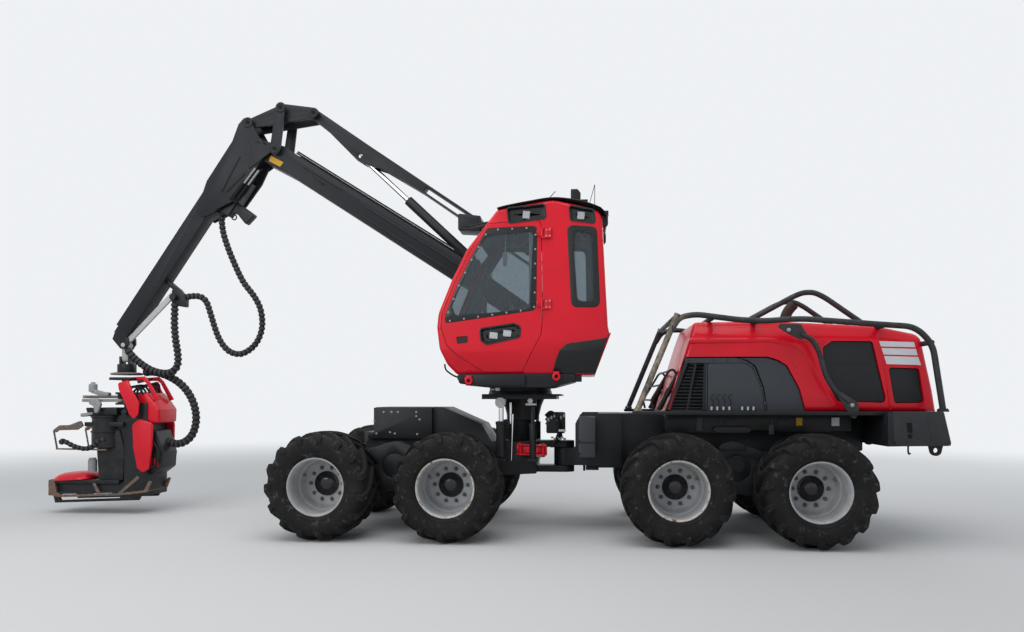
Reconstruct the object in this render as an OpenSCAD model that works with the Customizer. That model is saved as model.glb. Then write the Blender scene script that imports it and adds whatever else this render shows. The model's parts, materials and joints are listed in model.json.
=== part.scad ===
// Eight-wheeled forestry harvester: front frame with a slewing cab and crane,
// rear frame with the engine, four bogies, and a felling head on a parallel crane.
// X points to the rear, the machine drives towards -X, its left side is at -Y,
// and Z is up from the ground. Lengths are in millimetres.

/* [Layout] */
// Place of the steering axis behind the middle of the overall length
steer_x = 1500; // [1450:10:1600]
// Distance between the pivots of the front and rear bogies
wheelbase = 4015; // [3960:5:4150]
// Distance between the two wheels of a bogie
bogie_base = 1473; // [1440:1:1490]
// Height of the bogie pivots
pivot_z = 800; // [780:5:810]
// Distance between the middles of the left and right tyres
track = 2200; // [2170:5:2240]

/* [Wheels] */
// Outer radius of a tyre over its lugs
tyre_r = 616; // [600:1:620]
// Width of a tyre
tyre_w = 710; // [680:5:720]
// Height of the tread lugs
lug_h = 42; // [30:1:50]
// Lugs on each side of a tyre
lug_n = 15; // [12:1:18]
// Bead radius of a rim
bead_r = 311; // [300:1:320]
// Height of a rim's flanges
flange_h = 21; // [15:1:25]
// Width of a rim over its flanges
rim_w = 600; // [560:5:610]
// Wall of a rim
rim_wall = 14; // [10:1:20]
// Radius of the hub cap
cap_r = 143; // [130:1:155]
// Radius of the wheel spindles
spindle_r = 70; // [60:1:80]

/* [Bogies] */
// Inner face of a bogie beam from the middle of the machine
bogie_in = 460; // [455:1:470]
// Outer face of a bogie beam from the middle of the machine
bogie_out = 705; // [690:1:710]
// Radius of a bogie beam at its wheels
bogie_end_r = 225; // [200:5:240]
// Radius of a bogie beam at its pivot
bogie_mid_r = 290; // [270:5:295]
// Radius of the bogie journals
journal_r = 150; // [130:5:170]

/* [Frames] */
// Half width of the front frame
front_half = 360; // [330:5:380]
// Top of the front frame's nose
nose_z = 1500; // [1450:5:1520]
// Top of the front frame under the levelling platform
waist_z = 1080; // [1070:5:1100]
// Underside of the front frame
belly_z = 630; // [600:5:660]
// Radius of the steering pin
steer_pin_r = 60; // [50:1:70]
// Height of the roll axis of the middle joint
roll_z = 885; // [875:5:895]
// Radius of the roll pin
roll_pin_r = 110; // [90:5:125]
// Half width of the rear frame
rear_half = 380; // [350:5:400]
// Underside of the rear deck
deck_z = 1430; // [1428:2:1460]
// Thickness of the rear deck
deck_t = 35; // [20:1:40]

/* [Turntable] */
// Place of the slewing axis ahead of the steering axis
slew_ahead = 555; // [530:5:580]
// Height of the gap in the slewing ring
slew_z = 1700; // [1690:5:1720]
// Radius of the slewing ring
ring_r = 400; // [370:5:420]
// Radius of the slewing ring's hub
hub_r = 280; // [250:5:300]
// Top of the turntable's base plate
base_z = 1880; // [1870:5:1900]
// Fore and aft distance of the levelling cylinders from the slewing axis
level_x = 190; // [180:5:210]
// Sideways distance of the levelling cylinders from the slewing axis
level_y = 450; // [440:5:470]

/* [Cab] */
// Left face of the cab
cab_left = -1030; // [-1040:5:-1000]
// Right face of the cab
cab_right = 240; // [200:5:250]
// Thickness of the cab's walls
cab_wall = 50; // [40:1:60]
// Clearance round the door
door_gap = 6; // [5:1:10]
// Thickness of the cab's glass
glass_t = 6; // [4:1:10]

/* [Rear body] */
// Half width of the engine hood
hood_half = 820; // [780:5:850]
// Wall of the engine hood
hood_wall = 30; // [20:1:40]
// Radius of the guard pipes
pipe_r = 30; // [24:1:36]
// Distance of the guard's side rails from the middle
guard_y = 1000; // [950:5:1040]
// Half width of the rear deck
deck_half = 1045; // [1030:5:1060]
// Half width of the rear bumper
bumper_half = 1150; // [1050:10:1250]
// Bore radius of the lashing eyes under the bumper
lash_r = 28; // [24:1:34]
// Thickness of a lashing eye
lash_t = 40; // [30:1:50]
// Inner face of a lashing eye from the middle
lash_y = 980; // [900:10:1050]

/* [Crane] */
// Middle plane of the crane, right of the slewing axis
crane_y = 600; // [595:1:610]
// Place of the main boom's pivot behind the slewing axis
king_back = 79; // [60:1:100]
// Height of the main boom's pivot
king_z = 2718; // [2700:2:2740]
// Length of the main boom from pivot to elbow
boom_len = 4410; // [4350:10:4450]
// Rise of the main boom
boom_rise = 32.3; // [32:0.1:33]
// Half width of the main boom
boom_half = 150; // [130:5:155]
// Drop of the outer boom
outer_drop = 53.4; // [53:0.1:54]
// Length from the elbow to the tip pin
outer_len = 3378; // [3340:2:3420]
// Half width of the outer boom
outer_half = 120; // [110:2:130]
// Height of the outer boom's box
outer_h = 229; // [220:1:240]
// Wall of the boom boxes
boom_wall = 12; // [8:1:16]
// Radius of the king pin
king_pin_r = 60; // [50:1:65]
// Radius of the elbow pin
elbow_pin_r = 55; // [45:1:60]
// Radius of the pins of strut, link and rockers
link_pin_r = 35; // [30:1:40]
// Bore of the reach cylinder's rod
rod_r = 35; // [28:1:40]
// Outer radius of the reach cylinder's barrel
barrel_r = 66; // [58:1:70]

/* [Head] */
// Height of the tilt pivot of the head
tilt_z = 1420; // [1410:2:1430]
// Place of the tilt pivot behind the rotator's axis
tilt_back = 190; // [170:5:210]
// Half width of the head's body
head_half = 260; // [240:5:280]
// Radius of the feed rollers
roller_r = 205; // [190:5:215]

/* [Hidden] */
$fn = 48;

fit = 0.05;
gap = 5;
seat = 0.3;
dark = [0.16, 0.17, 0.18];
red = [0.85, 0.05, 0.08];
grey = [0.55, 0.57, 0.6];
steel = [0.75, 0.77, 0.8];

// Wheel places
half_base = bogie_base / 2;
front_x = steer_x - wheelbase / 2;
rear_x = steer_x + wheelbase / 2;
wheel_x = [front_x - half_base, front_x + half_base, rear_x - half_base, rear_x + half_base];
wheel_y = track / 2;
axle_z = tyre_r;
// Axial places in a wheel, outwards from the tyre's middle
cap_face = -70;
disc_t = 25;
disc_out = cap_face - 35;
disc_in = disc_out - disc_t;
boss_in = disc_in - 35;
rim_half = rim_w / 2;

// Slewing axis and crane pins as [x, z], the crane seen from the left
slew_x = steer_x - slew_ahead;
rise = boom_rise;
function along(p, e, a, b) = [p[0] - a * cos(e) + b * sin(e), p[1] + a * sin(e) + b * cos(e)];
king = [slew_x + king_back, king_z];
elbow = along(king, rise, boom_len, 0);
rocker_foot = along(king, rise, boom_len - 260, 84);
rocker_top = along(king, rise, boom_len - 28, 601);
strut_foot = [king[0] + 471, king[1] + 431];
strut_top = [rocker_top[0] + 423, rocker_top[1] - 50];
link_end = along(elbow, -outer_drop, -175, 303);
reach_eye = along(king, rise, boom_len - 1266, 630);
reach_foot = along(king, rise, 1000, 216);
tip = along(elbow, -outer_drop, outer_len, 0);
// The outer box is not quite in line with elbow and tip pin
tube_tilt = -outer_drop - 1.8;
tube_top = 337;
tube_mid = tube_top - outer_h / 2;
tip_drop = outer_len * sin(1.8) - tube_mid;
tip_a = outer_len * cos(1.8);
lift_eye = [king[0] - 300, king[1] - 200];
lift_foot = [slew_x - 295, base_z + 80];
// Planes of the crane's pieces, from its middle plane
lever_in = boom_half + 15;
lever_out = lever_in + 35;
king_in = lever_out + 15;
king_out = king_in + 40;
link_out = boom_half - 5;
link_in = link_out - 35;
strut_half = link_in - 20;
cheek_in = boom_half + 15;
cheek_out = cheek_in + 35;
rocker_in = cheek_out + 15;
rocker_out = rocker_in + 30;

// Turns a point list into the same outline moved inwards by d, for a list that runs anticlockwise
function shift_edge(p, q, d) = let(v = q - p, n = [-v[1], v[0]] / norm(v)) [p + d * n, q + d * n];
function cross2(a, b) = a[0] * b[1] - a[1] * b[0];
function meet(a, b) =
    let(r = a[1] - a[0], s = b[1] - b[0]) a[0] + r * cross2(b[0] - a[0], s) / cross2(r, s);
function inset(p, d) =
    let(n = len(p)) [for (i = [0 : n - 1])
        meet(shift_edge(p[(i + n - 1) % n], p[i], d), shift_edge(p[i], p[(i + 1) % n], d))];
function arc(c, r, a0, a1, n) =
    [for (i = [0 : n]) let(a = a0 + (a1 - a0) * i / n) [c[0] + r * cos(a), c[1] + r * sin(a)]];
function angle_of(p, q) = atan2(q[1] - p[1], q[0] - p[0]);

// A side outline in X and Z, from y0 to y1
module side(y0, y1) {
    translate([0, y1, 0]) rotate([90, 0, 0]) linear_extrude(y1 - y0) children();
}

// A round bar across the machine at [x, z], from y0 to y1
module bar(p, r, y0, y1) {
    translate([p[0], y1, p[1]]) rotate([90, 0, 0]) cylinder(r = r, h = y1 - y0);
}

// The same on both sides of a plane
module twice(y = 0) {
    children();
    translate([0, 2 * y, 0]) mirror([0, 1, 0]) children();
}

// An outline along a crane piece that starts at p and rises by e
module crane_side(p, e, y0, y1) {
    side(crane_y + y0, crane_y + y1) translate(p) mirror([1, 0]) rotate(e) children();
}

module crane_bar(p, r, y0, y1) {
    bar(p, r, crane_y + y0, crane_y + y1);
}

// A round bar between two [x, y, z] points, d longer at each end
module rod_at(p, q, r, d = 0) {
    v = q - p;
    translate(p) rotate([0, acos(v[2] / norm(v)), atan2(v[1], v[0])])
        translate([0, 0, -d]) cylinder(r = r, h = norm(v) + 2 * d, $fn = 16);
}

// A pipe along a list of [x, y, z] points, with a sleeve at slight bends and a ball at others
module pipe(pts, r) {
    n = len(pts) - 2;
    for (i = [0 : n]) {
        v = pts[i + 1] - pts[i];
        e = v / norm(v);
        rod_at(pts[i] + (i == 0 ? 0 : 6) * e, pts[i + 1] - (i == n ? 0 : 6) * e, r);
        if (i > 0) {
            u = (pts[i] - pts[i - 1]) / norm(pts[i] - pts[i - 1]);
            if (acos(min(1, u * e)) < 18) rod_at(pts[i] - 30 * u, pts[i] + 30 * e, r + 4);
            else translate(pts[i]) sphere(r = r + 3, $fn = 24);
        }
    }
}

// A flat bar with round ends from p to q, in X and Z
module strap(p, q, rp, rq) {
    a = angle_of(p, q);
    d = norm(q - p);
    s = asin((rp - rq) / d);
    translate(p) circle(r = rp);
    translate(q) circle(r = rq);
    translate(p) rotate(a) polygon([
        [rp * sin(s), rp * cos(s)], [d + rq * sin(s), rq * cos(s)],
        [d + rq * sin(s), -rq * cos(s)], [rp * sin(s), -rp * cos(s)]
    ]);
}

// Outline of a plate with round corners: a list of [centre, radius], anticlockwise
function belt_normal(a, b) = angle_of(a[0], b[0]) - acos((a[1] - b[1]) / norm(b[0] - a[0]));
function belt(c) =
    let(n = len(c), m = [for (i = [0 : n - 1]) belt_normal(c[i], c[(i + 1) % n])])
    [for (i = [0 : n - 1])
        let(a = m[(i + n - 1) % n], turn = (m[i] - a + 720) % 360)
        each arc(c[i][0], c[i][1], a, a + turn, max(1, ceil(turn / 9)))];

// Wheels

tyre_half = tyre_w / 2;
carcass_r = tyre_r - lug_h;
lug_lean = 150;
lug_top = sqrt(tyre_r * tyre_r - lug_lean * lug_lean / 4 - 900);

module tyre() {
    color(dark) {
        rotate_extrude($fn = 24) polygon([
            [bead_r + seat, -rim_half + 21], [bead_r + flange_h + 1, -rim_half + 13],
            [bead_r + 60, 12 - tyre_half], [bead_r + 150, -tyre_half],
            [carcass_r - 38, 30 - tyre_half], [carcass_r, 80 - tyre_half],
            [carcass_r, tyre_half - 80], [carcass_r - 38, tyre_half - 30],
            [bead_r + 150, tyre_half], [bead_r + 60, tyre_half - 12],
            [bead_r + flange_h + 1, rim_half - 13], [bead_r + seat, rim_half - 21]
        ]);
        for (i = [0 : lug_n - 1], s = [-1, 1])
            rotate((i + s / 4) * 360 / lug_n) translate([carcass_r - 60, 0, 0])
                rotate([0, 90, 0]) linear_extrude(lug_top - carcass_r + 60) polygon([
                    [s * 4, -lug_lean / 2 - 26], [s * (tyre_half - 24), lug_lean / 2 - 34],
                    [s * (tyre_half - 24), lug_lean / 2 + 26], [s * 4, 34 - lug_lean / 2]
                ]);
    }
}

module rim() {
    color(grey) rotate_extrude($fn = 48) polygon([
        [0, cap_face - 15], [spindle_r + fit, cap_face - 15], [spindle_r + fit, boss_in],
        [cap_r, boss_in], [cap_r, disc_in], [bead_r - rim_wall, disc_in],
        [bead_r - rim_wall, -rim_half], [bead_r + flange_h, -rim_half],
        [bead_r + flange_h, 12 - rim_half], [bead_r, 20 - rim_half],
        [bead_r, rim_half - 20], [bead_r + flange_h, rim_half - 12],
        [bead_r + flange_h, rim_half], [bead_r - rim_wall, rim_half],
        [bead_r - rim_wall, disc_out], [cap_r, disc_out], [cap_r, cap_face], [0, cap_face]
    ]);
}

// Places a wheel piece, its outer face away from the machine
module at_wheel(i, s) {
    translate([wheel_x[i], s * wheel_y, axle_z]) rotate([-90 * s, 0, 0]) children();
}

// A bogie with its beam, drive flanges and spindles
module bogie(x, s) {
    color(dark) difference() {
        union() {
            side(min(s * bogie_in, s * bogie_out), max(s * bogie_in, s * bogie_out)) {
                strap([x, pivot_z], [x - half_base, axle_z], bogie_mid_r, bogie_end_r);
                strap([x, pivot_z], [x + half_base, axle_z], bogie_mid_r, bogie_end_r);
            }
            for (e = [-1, 1]) translate([x + e * half_base, s * bogie_out, axle_z])
                rotate([-90 * s, 0, 0]) {
                    cylinder(r = cap_r, h = wheel_y + boss_in - 6 - bogie_out);
                    cylinder(r = spindle_r, h = wheel_y + cap_face - 20 - bogie_out);
                }
        }
        bar([x, pivot_z], journal_r + fit, -wheel_y, wheel_y);
    }
}

// Frames

module axle(x) {
    bar([x, pivot_z], journal_r + 50, gap - bogie_in, bogie_in - gap);
    bar([x, pivot_z], journal_r, 4 - bogie_out, bogie_out - 4);
}

fork_t = 80;
yoke_half = 110;
module front_frame() {
    color(dark) {
        side(-front_half, front_half) polygon([
            [front_x - 940, belly_z + 270], [front_x - 740, belly_z + 10],
            [front_x + 500, belly_z - 10], [steer_x - 330, roll_z - yoke_half - fork_t - gap],
            [steer_x - 330, waist_z], [steer_x - 880, waist_z],
            [steer_x - 1000, waist_z + 210], [front_x + 530, nose_z],
            [front_x - 440, nose_z], [front_x - 940, nose_z - 250]
        ]);
        // Side boxes between the front wheels
        translate([front_x - 402, gap - bogie_in, nose_z - 385])
            cube([804, 2 * (bogie_in - gap), 380]);
        axle(front_x);
        for (z = [roll_z + yoke_half + gap, roll_z - yoke_half - gap - fork_t])
            translate([0, 0, z]) linear_extrude(fork_t) {
                translate([steer_x, 0]) circle(r = 130);
                translate([steer_x - 340, -130]) square([340, 260]);
            }
        translate([steer_x, 0, roll_z - yoke_half - gap - fork_t + 20])
            cylinder(r = steer_pin_r, h = 2 * (yoke_half + gap + fork_t) - 30);
        // Feet of the levelling cylinders
        for (x = [-level_x, level_x])
            translate([slew_x + x - 60, -level_y - 50, waist_z - 240])
                cube([120, 2 * level_y + 100, 40]);
    }
}

// Platform on its post, with the lower half of the slewing ring
module level_platform() {
    color(dark) {
        translate([slew_x, 0, waist_z]) cylinder(r = 150, h = 540);
        translate([slew_x - 430, -480, slew_z - 100]) cube([905, 960, 55]);
        difference() {
            translate([slew_x, 0, slew_z - 60]) cylinder(r = ring_r, h = 60);
            translate([slew_x, 0, slew_z - 40]) cylinder(r = hub_r + fit, h = 50);
        }
        for (x = [-level_x, level_x], y = [-level_y, level_y])
            translate([slew_x + x - 45, y - 25, slew_z - 190]) cube([90, 50, 95]);
    }
}

module level_cylinders() {
    for (x = [-level_x, level_x], y = [-level_y, level_y]) translate([slew_x + x, y, 0]) {
        color(dark) translate([0, 0, waist_z - 200]) cylinder(r = 43, h = 425);
        color(steel) translate([0, 0, waist_z + 225])
            cylinder(r = 22, h = slew_z - 190 - waist_z - 225);
    }
}

module lock_link() {
    color(red) translate([slew_x - 10, -front_half - 40, waist_z - 160]) cube([370, 40, 110]);
}

module middle_joint() {
    color(dark) {
        difference() {
            union() {
                translate([steer_x, 0, roll_z - yoke_half]) cylinder(r = 125, h = 2 * yoke_half);
                translate([steer_x, -120, roll_z - yoke_half]) cube([260, 240, 2 * yoke_half]);
                translate([steer_x + 240, 0, roll_z]) rotate([0, 90, 0]) cylinder(r = 190, h = 30);
                translate([steer_x + 260, 0, roll_z]) rotate([0, 90, 0])
                    cylinder(r = roll_pin_r, h = 330);
            }
            translate([steer_x, 0, 0]) cylinder(r = steer_pin_r + fit, h = 2000);
        }
    }
}

// Frame, deck and bumper are bolted together, so each is a solid of its own
lash_eye = [rear_x + 2050, 1045];
bumper_x = rear_x + 1500;
module rear_frame() {
    color(dark) {
        difference() {
            union() {
                side(-rear_half, rear_half) polygon([
                    [steer_x + 430, 770], [rear_x + 600, 780], [bumper_x - seat, 1000],
                    [bumper_x - seat, deck_z], [steer_x + 430, deck_z]
                ]);
                for (y = [-500, 440])
                    side(y, y + 60) polygon([
                        [steer_x + 150, 820], [steer_x + 700, 780], [steer_x + 700, deck_z],
                        [steer_x + 230, deck_z], [steer_x + 150, deck_z - 120]
                    ]);
                translate([steer_x + 430, -450, 790]) cube([100, 900, deck_z - 790]);
                translate([steer_x + 275, 0, roll_z]) rotate([0, 90, 0]) cylinder(r = 180, h = 160);
                axle(rear_x);
            }
            translate([steer_x, 0, roll_z]) rotate([0, 90, 0])
                cylinder(r = roll_pin_r + fit, h = 600);
        }
        translate([0, 0, deck_z + seat]) linear_extrude(deck_t - seat) polygon([
            [steer_x + 800, -deck_half], [bumper_x - seat, -deck_half],
            [bumper_x - seat, deck_half], [steer_x + 800, deck_half],
            [steer_x + 800, deck_half - 170], [steer_x + 1190, deck_half - 170],
            [steer_x + 1190, 170 - deck_half], [steer_x + 800, 170 - deck_half]
        ]);
        difference() {
            union() {
                side(-bumper_half, bumper_half) polygon([
                    [bumper_x, 1092], [bumper_x + 645, 1106], [bumper_x + 560, deck_z + deck_t],
                    [bumper_x, deck_z + deck_t]
                ]);
                for (y = [-lash_y - lash_t, lash_y]) side(y, y + lash_t) polygon(concat(
                    [lash_eye + [75, 60], lash_eye + [-75, 60]], arc(lash_eye, 60, 180, 360, 12)));
            }
            bar(lash_eye, lash_r, -lash_y - lash_t - 1, lash_y + lash_t + 1);
        }
    }
}

module side_boxes() {
    color(dark) for (y = [-730, rear_half]) translate([steer_x + 1190, y, 1240])
        cube([2080, 730 - rear_half, deck_z - 1240]);
}

module rear_tanks() {
    color(grey) twice() translate([steer_x + 180, -720, 880]) cube([220, 220, 500]);
}

module engine() {
    color(grey) translate([steer_x + 1900, -350, deck_z + deck_t + 150]) cube([1300, 700, 700]);
    color(grey) for (x = [2000, 2950], y = [-300, 200])
        translate([steer_x + x, y, deck_z + deck_t]) cube([120, 100, 160]);
}

// Side outline of the hood, and the opening that the louvres and panels fill
hood_z = deck_z + deck_t;
hood_side = [
    [steer_x + 1205, hood_z], [steer_x + 4150, hood_z], [steer_x + 3948, 2286],
    [steer_x + 3587, 2377], [steer_x + 2365, 2449], [steer_x + 1524, 2441], [steer_x + 1389, 2055]
];
function hood_front(w) = [
    [-w, hood_z - 1], [w, hood_z - 1], [w, 2230], [w - 110, 2500], [110 - w, 2500], [-w, 2230]
];
bay = [
    [steer_x + 1232, 1490], [steer_x + 2745, 1490], [steer_x + 2671, 1723],
    [steer_x + 2540, 1982], [steer_x + 2321, 2084], [steer_x + 1420, 2084]
];
vent_1 = [
    [steer_x + 3040, 1599], [steer_x + 3609, 1599], [steer_x + 3459, 2245],
    [steer_x + 2960, 2248], [steer_x + 2910, 2159]
];
vent_2 = [
    [steer_x + 3704, 1550], [steer_x + 4020, 1550], [steer_x + 3955, 1953], [steer_x + 3630, 1953]
];

module hood_body(d) {
    intersection() {
        side(-hood_half - 1, hood_half + 1) polygon(inset(hood_side, d));
        translate([steer_x, 0, 0]) rotate([90, 0, 90]) linear_extrude(4400)
            polygon(hood_front(hood_half - d));
    }
}

module hood() {
    color(red) difference() {
        hood_body(0);
        hood_body(hood_wall);
        translate([steer_x + 1300, -hood_half + 100, hood_z - 10])
            cube([2700, 2 * hood_half - 200, 100]);
        side(-hood_half - 10, hood_half + 10) {
            polygon(bay);
            polygon(vent_1);
            polygon(vent_2);
        }
    }
}

// Part of the bay between two distances behind the steering axis
module bay_part(x0, x1) {
    intersection() {
        polygon(inset(bay, seat));
        translate([steer_x + x0, 1400]) square([x1 - x0, 800]);
    }
}

module hood_panels() {
    panel = concat([[steer_x + 1657, 1480], [steer_x + 2330, 1480]],
        arc([steer_x + 2240, 1992], 90, 0, 90, 4), [[steer_x + 1657, 2082]]);
    color(grey) twice() side(-hood_half + 5, -hood_half + 25) {
        intersection() {
            polygon(inset(bay, seat));
            polygon(panel);
        }
        bay_part(2330 + seat, 2800);
    }
}

// A grille plate with a grid of slots: [x, z] of the first slot, pitch, counts and slot size
module slots(p, dx, dz, nx, nz, w, h) {
    for (i = [0 : nx - 1], j = [0 : nz - 1])
        translate([p[0] + i * dx, p[1] + j * dz]) square([w, h]);
}

module hood_grilles() {
    color(dark) twice() side(-hood_half + 5, -hood_half + 25) {
        difference() {
            bay_part(1100, 1657 - seat);
            slots([steer_x + 1440, 1530], 105, 44, 2, 12, 85, 24);
        }
        difference() {
            polygon(inset(vent_1, seat));
            slots([steer_x + 3080, 1660], 0, 60, 1, 9, 380, 30);
        }
        difference() {
            polygon(inset(vent_2, seat));
            slots([steer_x + 3740, 1600], 0, 60, 1, 6, 220, 30);
        }
    }
}

module guard() {
    y = guard_y;
    foot = hood_z + 16;
    function rail(x) = [x, 2548 - 0.0686 * (x - 1560)];
    function at(p, y) = [steer_x + p[0], y, p[1]];
    color(dark) {
        twice() {
            pipe([
                at([861, foot], -y), at([1283, 2519], -y), at(rail(1560), -y), at(rail(3835), -y),
                at([4012, 2241], -y), at([4136, foot], -y)
            ], pipe_r);
            pipe([at(rail(2748), -y), at([2951, 1775], -y), at([3174, foot], -y)], pipe_r - 4);
            pipe([
                at(rail(2180), -450), at([2813, 2848], -450), at([2939, 2847], -450),
                at(rail(3539), -450)
            ], pipe_r);
            for (x = [861, 3174, 4136])
                translate([steer_x + x - 40, 5 - deck_half, hood_z]) cube([80, 140, 24]);
        }
        for (p = [[1283, 2519], rail(1700), rail(2180), rail(3539), [4012, 2241]])
            bar([steer_x + p[0], p[1]], pipe_r - 4, -y, y);
    }
}

module exhaust() {
    color(grey) difference() {
        translate([steer_x + 2690, -300, 2400]) rotate([0, 12, 0]) difference() {
            cylinder(r = 62, h = 380);
            translate([0, 0, 80]) cylinder(r = 56, h = 400);
        }
        hood_body(-seat);
    }
}

// Turntable, cab

module turntable() {
    cr = crane_y;
    foot = base_z + seat - king_z;
    color(dark) {
        difference() {
            union() {
                translate([slew_x, 0, slew_z + seat]) cylinder(r = ring_r - 10, h = 65);
                translate([slew_x, 0, slew_z - 35]) cylinder(r = hub_r, h = 60);
                translate([slew_x - 550, cab_left + 60, slew_z + 60])
                    cube([685, cr + king_out + 10 - cab_left - 60, base_z - slew_z - 60]);
                for (y = [-90, 50])
                    crane_side(lift_foot, 0, y, y + 40) polygon([
                        [-90, -95], [90, -95], [70, 30], [0, 60], [-70, 30]]);
            }
            crane_bar(lift_foot, link_pin_r + fit, -100, 100);
        }
        // King post: two cheeks and a plate between them
        difference() {
            for (y = [king_in, -king_out]) crane_side(king, 0, y, y + king_out - king_in) polygon([
                [-135, 0], [-200, foot], [330, foot], [120, -60], [100, 60], [0, 130], [-100, 90]
            ]);
            crane_bar(king, king_pin_r + fit, -king_out - 1, king_out + 1);
        }
        crane_side(king, 0, seat - king_in, king_in - seat)
            polygon([[-180, foot], [-150, -430], [-90, -430], [-100, foot]]);
    }
}

// Cab outlines in X and Z, from the left
cab = [
    [slew_x - 655, base_z], [slew_x + 934, base_z], [slew_x + 1103, 2321], [slew_x + 1080, 2434],
    [slew_x + 1013, 3744], [slew_x + 460, 3882], [slew_x - 180, 3783], [slew_x - 539, 3321],
    [slew_x - 713, 2968], [slew_x - 865, 2590], [slew_x - 882, 2429], [slew_x - 853, 2186],
    [slew_x - 771, 2002]
];
door_hinge = [slew_x + 335, cab_left - 22];
hinge_z = [2680, 3487];
door = [
    [slew_x - 330, base_z + 30], [slew_x + 95, base_z + 30], [slew_x + 324, 2350],
    [slew_x + 341, 2554], [slew_x + 320, 3640], [slew_x - 300, 3612], [slew_x - 500, 3290],
    [slew_x - 672, 2945], [slew_x - 818, 2580], [slew_x - 828, 2428], [slew_x - 640, 2110]
];
door_window = [
    [slew_x - 770, 2470], [slew_x + 272, 2612], [slew_x + 270, 3580], [slew_x - 277, 3560],
    [slew_x - 450, 3270], [slew_x - 620, 2930], [slew_x - 760, 2580]
];
quarter = [
    [slew_x + 686, 2641], [slew_x + 980, 2638], [slew_x + 950, 3553], [slew_x + 620, 3588]
];
right_window = [
    [slew_x - 640, 2500], [slew_x + 900, 2640], [slew_x + 880, 3560], [slew_x - 250, 3570],
    [slew_x - 480, 3200]
];

module cab_window_cuts(d) {
    // Windscreen and rear window
    translate([slew_x - 950, cab_left + 95 + d, 2300 + d])
        cube([500, cab_right - cab_left - 190 - 2 * d, 1300 - 2 * d]);
    translate([slew_x + 850, cab_left + 95 + d, 2700 + d])
        cube([400, cab_right - cab_left - 190 - 2 * d, 850 - 2 * d]);
}

module hinge_pin(r, h) {
    for (z = hinge_z) translate([door_hinge[0], door_hinge[1], z - h / 2]) cylinder(r = r, h = h);
}

module cab_shell() {
    color(red) hinge_pin(7, 120);
    color(red) for (z = hinge_z, d = [-60, 42]) {
        translate([slew_x + 327, cab_left - 34, z + d]) cube([73, 28, 18]);
        translate([slew_x + 350, cab_left - 34, z + d]) cube([50, 35, 18]);
    }
    color(red) difference() {
        side(cab_left, cab_right) polygon(cab);
        side(cab_left + cab_wall, cab_right - cab_wall) polygon(inset(cab, cab_wall));
        side(cab_left - 1, cab_left + cab_wall + 1) {
            polygon(inset(door, -door_gap));
            polygon(quarter);
        }
        side(cab_right - cab_wall - 1, cab_right + 1) polygon(right_window);
        cab_window_cuts(0);
        for (x = [-60, 640], y = [cab_left - 1, cab_right - 29])
            translate([slew_x + x, y, 3640]) cube([320, 30, 110]);
    }
}

module cab_glass() {
    color([0.5, 0.6, 0.65, 0.5]) {
        intersection() {
            difference() {
                side(cab_left + 10, cab_right - 10) polygon(inset(cab, 14));
                side(cab_left, cab_right) polygon(inset(cab, 14 + glass_t));
            }
            cab_window_cuts(seat);
        }
        side(cab_left + 14, cab_left + 14 + glass_t) polygon(inset(quarter, seat));
        side(cab_right - 14 - glass_t, cab_right - 14) polygon(inset(right_window, seat));
    }
}

module cab_door() {
    color(red) difference() {
        union() {
            side(cab_left, cab_left + cab_wall) polygon(door);
            for (z = hinge_z) translate([slew_x + 276, cab_left - 34, z - 40]) {
                cube([42, 35, 80]);
                cube([59, 24, 80]);
            }
            hinge_pin(14, 80);
        }
        hinge_pin(7 + fit, 82);
        side(cab_left - 1, cab_left + cab_wall + 1) polygon(door_window);
    }
}

module door_glass() {
    color([0.5, 0.6, 0.65, 0.5])
        side(cab_left + 14, cab_left + 14 + glass_t) polygon(inset(door_window, seat));
}

module cab_seat() {
    y = (cab_left + cab_right) / 2;
    color(dark) {
        translate([slew_x + 250, y, base_z + cab_wall]) cylinder(r = 160, h = 300);
        translate([slew_x - 30, y - 260, base_z + cab_wall + 300]) cube([560, 520, 140]);
        translate([slew_x + 450, y - 250, base_z + cab_wall + 440])
            rotate([0, 12, 0]) cube([120, 500, 750]);
        for (s = [-1, 1]) translate([slew_x - 80, y + s * 330 - 60, base_z + cab_wall + 520])
            cube([480, 120, 70]);
        for (s = [-1, 1]) translate([slew_x + 200, y + s * 270 - 20, base_z + cab_wall + 350])
            cube([120, 40 + 1, 175]);
    }
}

module cab_lamps() {
    color(steel) for (x = [60, 760], y = [cab_left + 2, cab_right - 29])
        translate([slew_x + x, y, 3695]) rotate([-90, 0, 0]) cylinder(r = 45, h = 27);
}

// Crane

module lever() {
    color(dark) {
        for (y = [-lever_out, lever_in]) side(crane_y + y, crane_y + y + lever_out - lever_in)
            polygon(belt([[lift_eye, 75], [king, 150], [strut_foot, 90]]));
        crane_bar([king[0] + 330, king[1] + 130], 60, -lever_out, lever_out);
        crane_bar(king, king_pin_r, 1 - king_out, king_out - 1);
        crane_bar(strut_foot, 45, -lever_out, lever_out);
        for (y = [-lever_out, 60]) crane_bar(lift_eye, link_pin_r, y, y + lever_out - 60);
    }
}

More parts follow.
